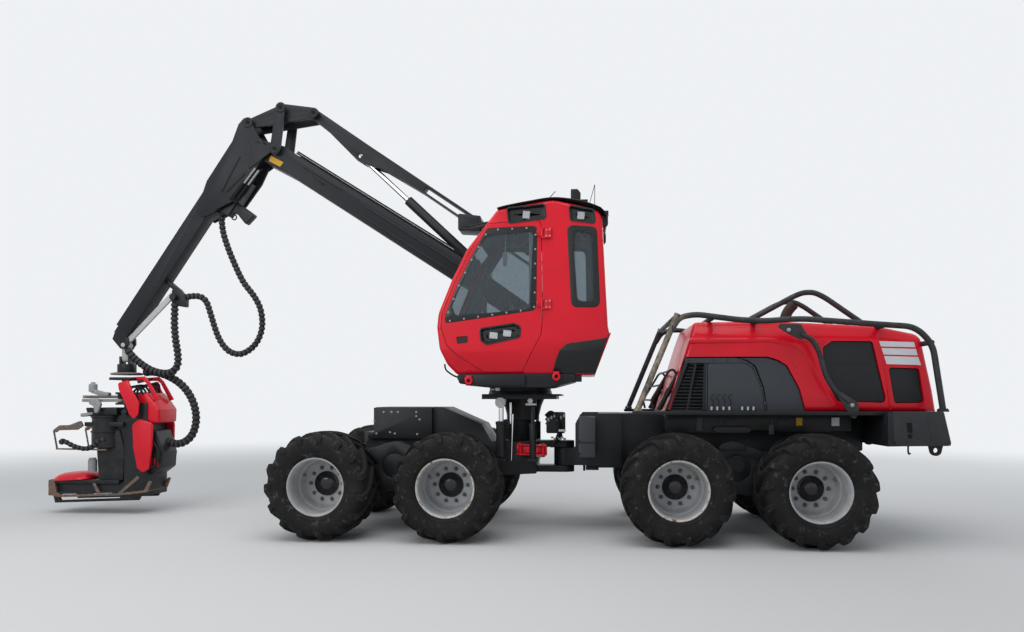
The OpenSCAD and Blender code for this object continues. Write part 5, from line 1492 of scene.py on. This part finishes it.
def make_crane():
    """Rounded crane pieces, pin caps, ribs, pipes, brackets and the free hoses."""
    for node, w in (("main_boom", 0.006), ("outer_boom", 0.007), ("extension", 0.005), ("strut", 0.006),
                    ("rocker", 0.006), ("link", 0.008), ("lever", 0.008), ("tip_link", 0.006),
                    ("rotator", 0.006), ("turntable", 0.006), ("reach_barrel", 0.003),
                    ("lift_barrel", 0.003), ("level_cylinders", 0.003), ("lock_link", 0.004)):
        eased(node, w, "worn_white" if node == "tip_link" else None)
    for body, pins in PINS.items():
        caps = Piece(f"pin_caps_{body}", body, *DARK)
        # Near-black pin centres, painted shade
        dark = Piece(f"pin_hole_shade_{body}", body, "inside")
        for place, r in pins:
            pin_cap(caps, dark, body, place, r)
        caps.done()
        dark.done()
    # Pressed ribs and pipes along the main boom
    ribs = Piece("boom_ribs", "main_boom", *DARK, 60)
    for side in (-1, 1):
        for a0, b0, a1, b1 in ((3080, 100, 3720, 92), (3330, 20, 3560, 70), (900, 62, 2700, 75),
                               (900, -62, 2700, -60)):
            p, q = along_boom(a0, b0), along_boom(a1, b1)
            y = skin_y("main_boom", (p[0] + q[0]) / 2, (p[1] + q[1]) / 2, side)
            if y is not None:
                rib(ribs, p, q, y, 0.011, 0.03)
    ribs.done()
    pipes = Piece("boom_pipes", "main_boom", "rubber")
    for side, heights in ((-1, (-40, -14, 12)), (1, (-20, 10, 36))):
        for b in heights:
            line = []
            for a in range(700, 3901, 160):
                x, z = along_boom(a, b + 130 + (6 if side > 0 else 0))
                line.append(at(x, CRANE_Y + (-88 if side > 0 else 60) + b * 0.6, z + 66))
            pipes.tube(line, 0.011, 8)
    pipes.done()
    # Blank plate near the elbow
    plate = Piece("elbow_plate", "main_boom", "yellow")
    outline = fillet(plan(ELBOW_PLATE), 0.006, 2)
    y = skin_y("main_boom", -3965, 4862)
    plate.slab(outline, (y - 5) / 1000, (y + 1) / 1000, 0.001)
    y = skin_y("main_boom", -3965, 4862, 1)
    plate.slab(outline, (y - 1) / 1000, (y + 5) / 1000, 0.001)
    plate.done()
    # Gusset plates and ribs on both faces of the outer boom's head, and on the left a near-black plate as
    # painted shade of a recess, with pipes
    gusset = Piece("boom_gussets", "outer_boom", *DARK)
    for s in (-1, 1):
        gusset.plate([(-4305, 5127), (-4026, 5059), (-4001, 4980), (-4076, 4929), (-4342, 4740),
                      (-4299, 4936)], 0.015, *span(s, 0.198, 0.216, CRANE_Y / 1000), 0.005)
        for a, b in (((-4448, 4940), (-4723, 4439)), ((-4379, 4699), (-4648, 4443))):
            rib(gusset, a, b, CRANE_Y + s * 200, 0.012)
    gusset.done()
    # Near-black plate on the boom's left face: painted shade of a recess
    recess = Piece("boom_recess_shade", "outer_boom", "inside")
    recess.plate([(-4116, 4754), (-4286, 4720), (-4448, 4545), (-4616, 4346), (-4510, 4283), (-4355, 4429),
                  (-4171, 4716), (-4154, 4723)], 0.02, *span(-1, 0.196, 0.203, CRANE_Y / 1000), 0.001)
    steel = Piece("boom_steel_pipes", "outer_boom", "silver")
    for (ax, az), (bx, bz) in (((-4228, 4760), (-4439, 4492)), ((-4178, 4729), (-4383, 4466))):
        steel.rod(at(ax, CRANE_Y - 214, az), at(bx, CRANE_Y - 214, bz), 0.014, 12)
        # The pipes run on into the recess as near-black rods, painted shade
        recess.rod(at(bx * 0.75 + ax * 0.25, CRANE_Y - 214, bz * 0.75 + az * 0.25),
                   at(bx * 1.5 - ax * 0.5, CRANE_Y - 210, bz * 1.5 - az * 0.5), 0.021, 12)
    recess.done()
    steel.done()
    # Chrome pipes and hose bracket under the outer boom
    tubes = Piece("slide_tubes", "outer_boom", "chrome")
    sleeve = Piece("slide_sleeves", "outer_boom", "satin_black")
    for y in (505, 590):
        a, b = at(-4395, y, 4760), at(-4535, y, 4505)
        tubes.rod(a, b, 0.019, 14)
        sleeve.rod(b, b + (b - a) * 1.1, 0.030, 14)
        sleeve.rod(a + (a - b) * 0.25, a, 0.030, 14)
    tubes.done()
    sleeve.plate([(-4470, 4420), (-4590, 4480), (-4780, 4200), (-4660, 4130)], 0.02, 0.47, 0.63, 0.01)
    sleeve.plate([(-4420, 4020), (-4290, 4150), (-4540, 4330), (-4660, 4200), (-4540, 4170)], 0.02, 0.49,
                 0.61, 0.008)
    sleeve.tube([at(-4593 + dx, 520, 4126 + dz) for dx, dz in EYE], 0.009, 8)
    sleeve.done()
    white = Piece("hose_arm", "extension", "worn_white")
    white.plate([(-6180, 2440), (-6120, 2400), (-5470, 3035), (-5480, 3085), (-5530, 3090)], 0.02, 0.52,
                0.56, 0.006)
    white.done()
    arm = Piece("hose_bracket", "extension", *DARK)
    arm.plate([(-5500, 3125), (-5400, 3150), (-5290, 3010), (-5295, 2885), (-5400, 2900), (-5490, 3010)],
              0.02, 0.50, 0.60, 0.008)
    arm.plate([(-5660, 3260), (-5600, 3290), (-5390, 3120), (-5440, 3080)], 0.02, 0.55, 0.65, 0.008)
    arm.rod(at(-5450, 430, 3020), at(-5450, 640, 3020), 0.045, 20)
    arm.done()
    line = curve_through([at(x, 560, z) for x, z in ((-4780, 4290), (-4790, 4060), (-4751, 3853),
            (-4640, 3560), (-4488, 3246), (-4330, 3040), (-4242, 2880), (-4208, 2720), (-4213, 2572),
            (-4262, 2430), (-4343, 2322), (-4440, 2255), (-4532, 2225), (-4655, 2250), (-4751, 2324),
            (-4835, 2450), (-4897, 2606), (-4955, 2790), (-5015, 2959), (-5085, 3025), (-5170, 3045),
            (-5300, 3035), (-5440, 3020))], 0.05)
    hose("boom_hose", line, 0.034, "outer_boom", "extension", 0.044)
    box = Piece("strut_box", "strut", *DARK)
    box.plate([(-1432, 4090), (-1128, 4052), (-1096, 3900), (-1180, 3850), (-1432, 3868)], 0.02, 0.432,
              0.768, 0.012)
    box.plate([(-1400, 4060), (-1160, 4030), (-1160, 3900), (-1400, 3900)], 0.02, 0.424, 0.440, 0.005)
    box.done()
    line = curve_through([at(x, 530, z) for x, z in ((-5462, 3020), (-5466, 2860), (-5470, 2640),
            (-5452, 2420), (-5420, 2220), (-5430, 2060), (-5520, 1975), (-5660, 1965), (-5820, 2010),
            (-5970, 2100), (-6090, 2200), (-6170, 2300))], 0.04)
    hose("tip_hose", line, 0.040, "extension", "tip_link", 0.052)
    line = curve_through([at(x, 650, z) for x, z in ((-5985, 1975), (-5870, 1985), (-5750, 1965),
            (-5610, 1915), (-5480, 1840), (-5370, 1740), (-5285, 1610), (-5235, 1480), (-5215, 1320),
            (-5240, 1170), (-5300, 1060), (-5390, 990), (-5480, 965), (-5570, 975), (-5650, 1010))], 0.04)
    hose("head_hose", line, 0.046, "bracket", "head", 0.056)


# Wound guard of a hose: one band each step
BAND_STEP, BAND_WIDTH = 0.062, 0.034


def hose(name, line, r, body_a, body_b, band):
    """Free hose between two bodies, with its wound bands."""
    windings = repeated("ribs", line_object(line[1:-1]), "hose_band", Step=BAND_STEP, Radius=band,
                        Width=BAND_WIDTH)
    bands = Piece(name + "_bands").mesh(windings).raw()
    core = Piece(name).tube(line, r, 12).raw()
    for obj, finish, angle in ((bands, "hose_band", 40), (core, "rubber", 60)):
        dress(obj, None, finish, None, (), angle)
        if body_a == body_b:
            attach(obj, body_a)
        else:
            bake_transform(obj)


def make_middle():
    """Between the bodies: levelling rods, flange, pedestal, lock bar, hoses, front tanks and bolts."""
    rods = Piece("level_rods", "front", "chrome")
    barrels = Piece("level_barrels", "front", "satin_black")
    pale = Piece("pale_fittings", "front", "white_plastic")
    for s in (-1, 1):
        rods.rod(at(-750, s * 452, 1280), at(-750, s * 452, 1560), 0.030, 20)
        barrels.rod(at(-752, s * 452, 900), at(-752, s * 452, 1306), 0.062, 24)
        barrels.lathe([(0.062, 0), (0.070, 0.004), (0.070, 0.034), (0.050, 0.042), (0.034, 0.044)],
                      at(-750, s * 452, 1290), (0, 0, 1), 24)
        rods.rod(at(-632, s * 405, 851), at(-611, s * 405, 1420), 0.012, 12)
        rods.rod(at(-640, s * 380, 1300), at(-640, s * 380, 1560), 0.016, 12)
        pale.lathe([(0.062, 0), (0.066, 0.012), (0.060, 0.030), (0.030, 0.034), (0.028, 0.044),
                    (0.001, 0.045)], at(-752, s * 505, 1560), (0, s, 0), 20)
        pale.box(-815, -690, s * 470 - 45, s * 470 + 45, 1572, 1606, 6)
        pale.box(-450, -318, s * 470 - 45, s * 470 + 45, 1526, 1550, 6)
        pale.lathe([(0.028, 0), (0.034, 0.010), (0.026, 0.022), (0.001, 0.024)], at(-390, s * 512, 1580),
                   (0, s, 0), 16)
    rods.done()
    barrels.done()
    pale.done()
    tag = Piece("mast_lamp", "turntable", "white_plastic")
    tag.box(-800, -748, -640, -600, 1700, 1745, 6)
    tag.rod(at(-850, -620, 1715), at(-795, -620, 1720), 0.008, 8)
    tag.done()
    flange = Piece("mast_flanges", "turntable", *BLACK)
    flange.plate([(-979, 1640), (-20, 1640), (-20, 1662), (-979, 1662)], 0.006, -0.52, 0.52, 0.006)
    for x, y in circle(395, 18):
        flange.bolt(at(-555 + x, y, 1662), (0, 0, 1), 0.012)
    flange.done()
    base = Piece("pedestal", "front", *BLACK)
    base.lathe([(0.190, 0), (0.200, 0.010), (0.205, 0.060), (0.235, 0.180), (0.268, 0.262), (0.285, 0.270),
                (0.285, 0.294), (0.25, 0.300)], at(-520, 0, 1335), (0, 0, 1), 36)
    for x, y in circle(262, 12):
        base.bolt(at(-520 + x, y, 1605), (0, 0, -1), 0.010)
    base.box(-210, 20, -300, -60, 1180, 1440, 18)
    base.box(-190, 0, 60, 300, 1180, 1400, 18)
    base.done()
    link = Piece("lock_bar", "front", *RED)
    for z in (1040, 925):
        link.slab(fillet(plan([(-560, z), (-200, z - 12), (-200, z + 6), (-560, z + 18)]), 0.006, 2), -0.47,
                  -0.36, 0.003)
    link.plate([(-470, 950), (-290, 940), (-290, 1020), (-470, 1030)], 0.02, -0.46, -0.37, 0.006)
    link.rod(at(-520, -415, 910), at(-520, -415, 1075), 0.022, 14)
    link.rod(at(-240, -415, 895), at(-240, -415, 1060), 0.022, 14)
    link.done()
    # Hose cluster at the pivot: loops between the front body and the joint's front side
    lines = Piece("pivot_lines", "front", "rubber")
    for k in range(7):
        y, x = -330 + 26 * k, -160 + 14 * (k % 3)
        lines.tube(curve_through([at(x - 60, y, 1400 - 18 * k), at(x + 10, y - 20, 1450 - 22 * k),
                                  at(x + 90, y - 24, 1380 - 30 * k), at(x + 105, y - 10, 1220 - 20 * k),
                                  at(x + 60, y, 1090), at(x + 10, y, 1010)], 0.03), 0.013, 8)
    lines.done()
    fit = Piece("pivot_fittings", "front", "zinc")
    for k in range(6):
        fit.rod(at(-180 + 38 * k, -352 + 9 * k, 1330 + 24 * (k % 3)),
                at(-180 + 38 * k, -352 + 9 * k, 1372 + 24 * (k % 3)), 0.013, 10)
        fit.rod(at(-150 + 30 * k, -345 + 8 * k, 1130 - 16 * (k % 2)),
                at(-118 + 30 * k, -345 + 8 * k, 1132 - 16 * (k % 2)), 0.012, 10)
    fit.done()
    Piece("pivot_tag", "front", "white_plastic").box(-54, 33, -408, -398, 1206, 1234, 2).done()
    # Upright tanks with their straps on the rear body's front
    tank = Piece("front_tanks", "rear", "bay_grey", "grey_paint")
    strap = Piece("tank_straps", "rear", "satin_black")
    for s in (-1, 1):
        tank.box(186, 392, *span(s, 560, 722), 915, 1400, 26)
        strap.box(180, 398, *span(s, 556, 727), 1085, 1103, 2)
        strap.bolt(at(196, s * 727, 1108), (0, s, 0), 0.010)
        strap.bolt(at(196, s * 727, 960), (0, s, 0), 0.010)
    tank.done("rear_tanks")
    strap.done()
    # Bolts on the sides of the front frame
    studs = Piece("front_bolts", "front", "zinc")
    for x, z in ((-2210, 1440), (-2110, 1440), (-2030, 1440), (-2330, 1330), (-1800, 1440), (-1800, 1390),
                 (-1760, 1350), (-1560, 1350),
                 (-1450, 1350), (-1290, 1335), (-2130, 1190), (-2070, 1175), (-1790, 1170), (-2300, 1175)):
        for side in (-1, 1):
            y = skin_y("front_frame", x, z, side)
            if y is not None and abs(y) > 380:
                studs.bolt(at(x, y, z), (0, side, 0), 0.009)
    studs.done()


# Head

def make_head():
    """Harvester head: red bracket and covers, knives, roller drum, saw box and its open rails."""
    for node in ("knife_l", "knife_r"):
        eased(node, 0.004)
    eased("head_frame", 0.006)
    red = Piece("bracket_plates", "bracket", *RED)
    lug = fillet(plan([(-6115, 1821), (-5965, 1858), (-5920, 1735), (-5810, 1550), (-5823, 1390),
                       (-5887, 1322), (-5952, 1390), (-6024, 1574), (-6102, 1729)]), 0.03)
    for y in (0.232, 0.968):
        red.slab(lug, y - 0.012, y + 0.012, 0.005)
    red.done("head_bracket")
    foot = Piece("bracket_base", "bracket", *BLACK)
    foot.plate([(-6260, 1862), (-6250, 1900), (-5960, 1900), (-5950, 1862)], 0.008, 0.240, 0.960, 0.005)
    foot.done()
    red = Piece("head_hood", "head", *RED)
    red.plate([(-5922, 1667), (-5785, 1686), (-5667, 1549), (-5602, 1456), (-5608, 1276), (-5732, 1251),
               (-5896, 1244), (-5876, 1456)], 0.025, 0.36, 0.84, 0.022)
    strip = fillet(plan([(-5957, 1246), (-5859, 1327), (-5664, 1266), (-5671, 932), (-5716, 636),
                         (-5808, 582), (-5886, 646), (-5944, 931)]), 0.04)
    red.slab(strip, 0.296, 0.336, 0.014)
    red.slab(strip, 0.864, 0.904, 0.014)
    arch = fillet(plan([(-6176, 1866), (-6042, 1904), (-5841, 1916), (-5774, 1853), (-5621, 1592),
                        (-5681, 1573), (-5814, 1821), (-5868, 1866), (-6042, 1853), (-6163, 1822)]), 0.01)
    red.slab(arch, 0.40, 0.43, 0.006)
    red.slab(arch, 0.77, 0.80, 0.006)
    red.done()
    side = Piece("head_side_case", "head", *BLACK)
    side.plate([(-5822, 925), (-5789, 1143), (-5674, 1175), (-5576, 864), (-5592, 646), (-5723, 551),
                (-5855, 581)], 0.03, 0.40, 0.80, 0.02)
    side.plate([(-6407, 1386), (-6060, 1387), (-5994, 1175), (-5949, 584), (-6357, 574), (-6440, 736),
                (-6440, 1142)], 0.03, 0.36, 0.84, 0.02)
    side.done()
    bits = Piece("valve_faces", "head", "red_plastic")
    corners = [(-5790, 776), (-5600, 796), (-5593, 678), (-5790, 658)]
    for k in range(4):
        x0 = corners[0][0] + (corners[1][0] - corners[0][0]) * k / 4
        bits.plate([(x0 + 4, corners[0][1]), (x0 + 22, corners[0][1]), (x0 + 22, corners[3][1]),
                    (x0 + 4, corners[3][1])], 0.004, 0.385, 0.405, 0.003)
    bits.done()
    dome = Piece("saw_cover", "head", *RED, 60)
    rings = []
    for k, rise in ((1.0, 0.0), (0.99, 0.016), (0.93, 0.044), (0.80, 0.074), (0.55, 0.098), (0.2, 0.108)):
        ring = []
        for i in range(32):
            a = 2 * pi * i / 32
            x, y = -6905 + 290 * k * bulged(cos(a), 0.55), 560 + 260 * k * bulged(sin(a), 0.55)
            ring.append(at(x, y, 470 + 1000 * rise - 0.06 * (-6905 - x)))
        rings.append(ring)
    dome.skin(rings)
    dome.done("head_covers")
    black = Piece("head_body", "head", *BLACK)
    black.box(-7190, -6170, 330, 850, 420, 475, 10)
    black.plate([(-6470, 470), (-6110, 470), (-6090, 900), (-6160, 1180), (-6400, 1180), (-6500, 900)],
                0.03, 0.33, 0.86, 0.02)
    black.lathe([(0.20, 0), (0.212, 0.008), (0.212, 0.020), (0.200, 0.030), (0.200, 0.205), (0.212, 0.214),
                 (0.212, 0.228), (0.195, 0.24), (0.195, 0.41), (0.21, 0.42), (0.21, 0.44), (0.19, 0.45)],
                at(-6400, 430, 925), (0, 0, 1), 36)
    black.lathe([(0.19, 0), (0.205, 0.008), (0.205, 0.44), (0.19, 0.45)], at(-6400, 790, 925), (0, 0, 1),
                36)
    black.plate([(-6640, 1480), (-6180, 1480), (-6180, 1380), (-6600, 1360)], 0.015, 0.30, 0.90, 0.01)
    black.done("head_rollers")
    lines = Piece("head_lines", "head", "rubber")
    for k in range(6):
        y = 0.36 + 0.09 * k
        lines.tube(curve_through(in_plane(1000 * y, [(-6170 + 12 * k, 1560), (-6120, 1720 + 14 * (k % 3)),
                (-5980 + 20 * k, 1770 + 10 * k), (-5860, 1720), (-5840, 1660)]), 0.03), 0.015, 8)
        lines.tube(curve_through(in_plane(1000 * y, [(-5690, 1010), (-5640, 940 - 20 * (k % 3)),
                (-5600, 840), (-5640, 700 + 15 * k), (-5720, 640)]), 0.03), 0.014, 8)
    lines.done()
    silver = Piece("worn_castings", "head", "silver")
    silver.lathe([(0.050, 0), (0.056, 0.006), (0.056, 0.10), (0.044, 0.112), (0.030, 0.118), (0.028, 0.135),
                  (0.001, 0.136)], at(-6580, 380, 1700), (0, 0, 1), 22)
    silver.plate([(-6600, 1745), (-6420, 1700), (-6330, 1690), (-6330, 1640), (-6450, 1640), (-6600, 1690)],
                 0.02, 0.34, 0.42, 0.012)
    for base in (0.235, 0.965):
        silver.plate([(-6540, 1606), (-6402, 1608), (-6360, 1530), (-6400, 1420), (-6450, 1398),
                      (-6466, 1500), (-6530, 1530)], 0.025, base - 0.025, base + 0.025, 0.010)
    silver.lathe([(0.052, 0), (0.058, 0.01), (0.058, 0.16), (0.046, 0.172), (0.046, 0.19)],
                 at(-6580, 370, 590), (0, 0, 1), 24)
    silver.plate([(-6700, 1400), (-6520, 1420), (-6520, 1385), (-6700, 1350)], 0.012, 0.28, 0.40, 0.006)
    silver.done()
    brown = Piece("feed_arms", "head", "rust")
    for base in (0.26, 0.94):
        brown.plate([(-7085, 1166), (-6985, 1236), (-6840, 1240), (-6678, 1300), (-6640, 1230),
                     (-6726, 1174), (-7000, 1166), (-7050, 1130)], 0.02, base - 0.02, base + 0.02, 0.006)
        brown.plate([(-7085, 1160), (-7070, 1160), (-7020, 905), (-7036, 905)], 0.004, base - 0.012,
                    base + 0.012, 0.003)
        brown.plate([(-7030, 900), (-6300, 890), (-6300, 912), (-7030, 918)], 0.006, base - 0.03,
                    base + 0.03, 0.004)
    brown.done()
    rail = Piece("saw_rails", "head", "rust", None)
    for y in (345, 835):
        rail.plate([(-7205, 430), (-7170, 430), (-7150, 250), (-7060, 228), (-6159, 262), (-5760, 310),
                    (-5700, 460), (-5730, 470), (-5800, 340), (-6170, 292), (-6420, 285), (-7020, 262),
                    (-7090, 300), (-7120, 470), (-7205, 470)], 0.01, (y - 22) / 1000, (y + 22) / 1000,
                   0.005)
        rail.plate([(-6560, 430), (-6520, 430), (-6440, 290), (-6490, 285)], 0.01, (y - 16) / 1000,
                   (y + 16) / 1000, 0.004)
        rail.plate([(-6200, 285), (-6150, 275), (-5868, 505), (-5900, 540)], 0.01, (y - 14) / 1000,
                   (y + 14) / 1000, 0.004)
    for x, z in ((-7130, 262), (-6700, 268), (-6300, 275), (-5780, 325)):
        rail.rod(at(x, 345, z), at(x, 835, z), 0.014, 10)
    rail.box(-7215, -7130, 330, 560, 250, 440, 10)
    rail.done()
    line = curve_through([at(x, y, z) for x, y, z in ((-6980, 300, 985), (-6960, 250, 1020),
            (-6890, 235, 1010), (-6800, 235, 965), (-6700, 235, 930), (-6590, 235, 915), (-6500, 235, 940),
            (-6440, 235, 990), (-6380, 235, 1035), (-6320, 260, 1040))], 0.03)
    hose("feed_hose", line, 0.026, "head", "head", 0.034)
    disc = Piece("rotator_disc", "bracket", "worn_steel")
    disc.lathe([(0.06, 0), (0.20, 0.004), (0.215, 0.016), (0.21, 0.030), (0.16, 0.042), (0.10, 0.046)],
               at(-6218, 600, 1935), (0, 0, 1), 36)
    disc.done()


set_camera()
set_light()
floor_piece()
dress_nodes()
make_wheels()
make_hood()
make_guard()
make_side()
make_cab()
make_crane()
make_middle()
make_head()
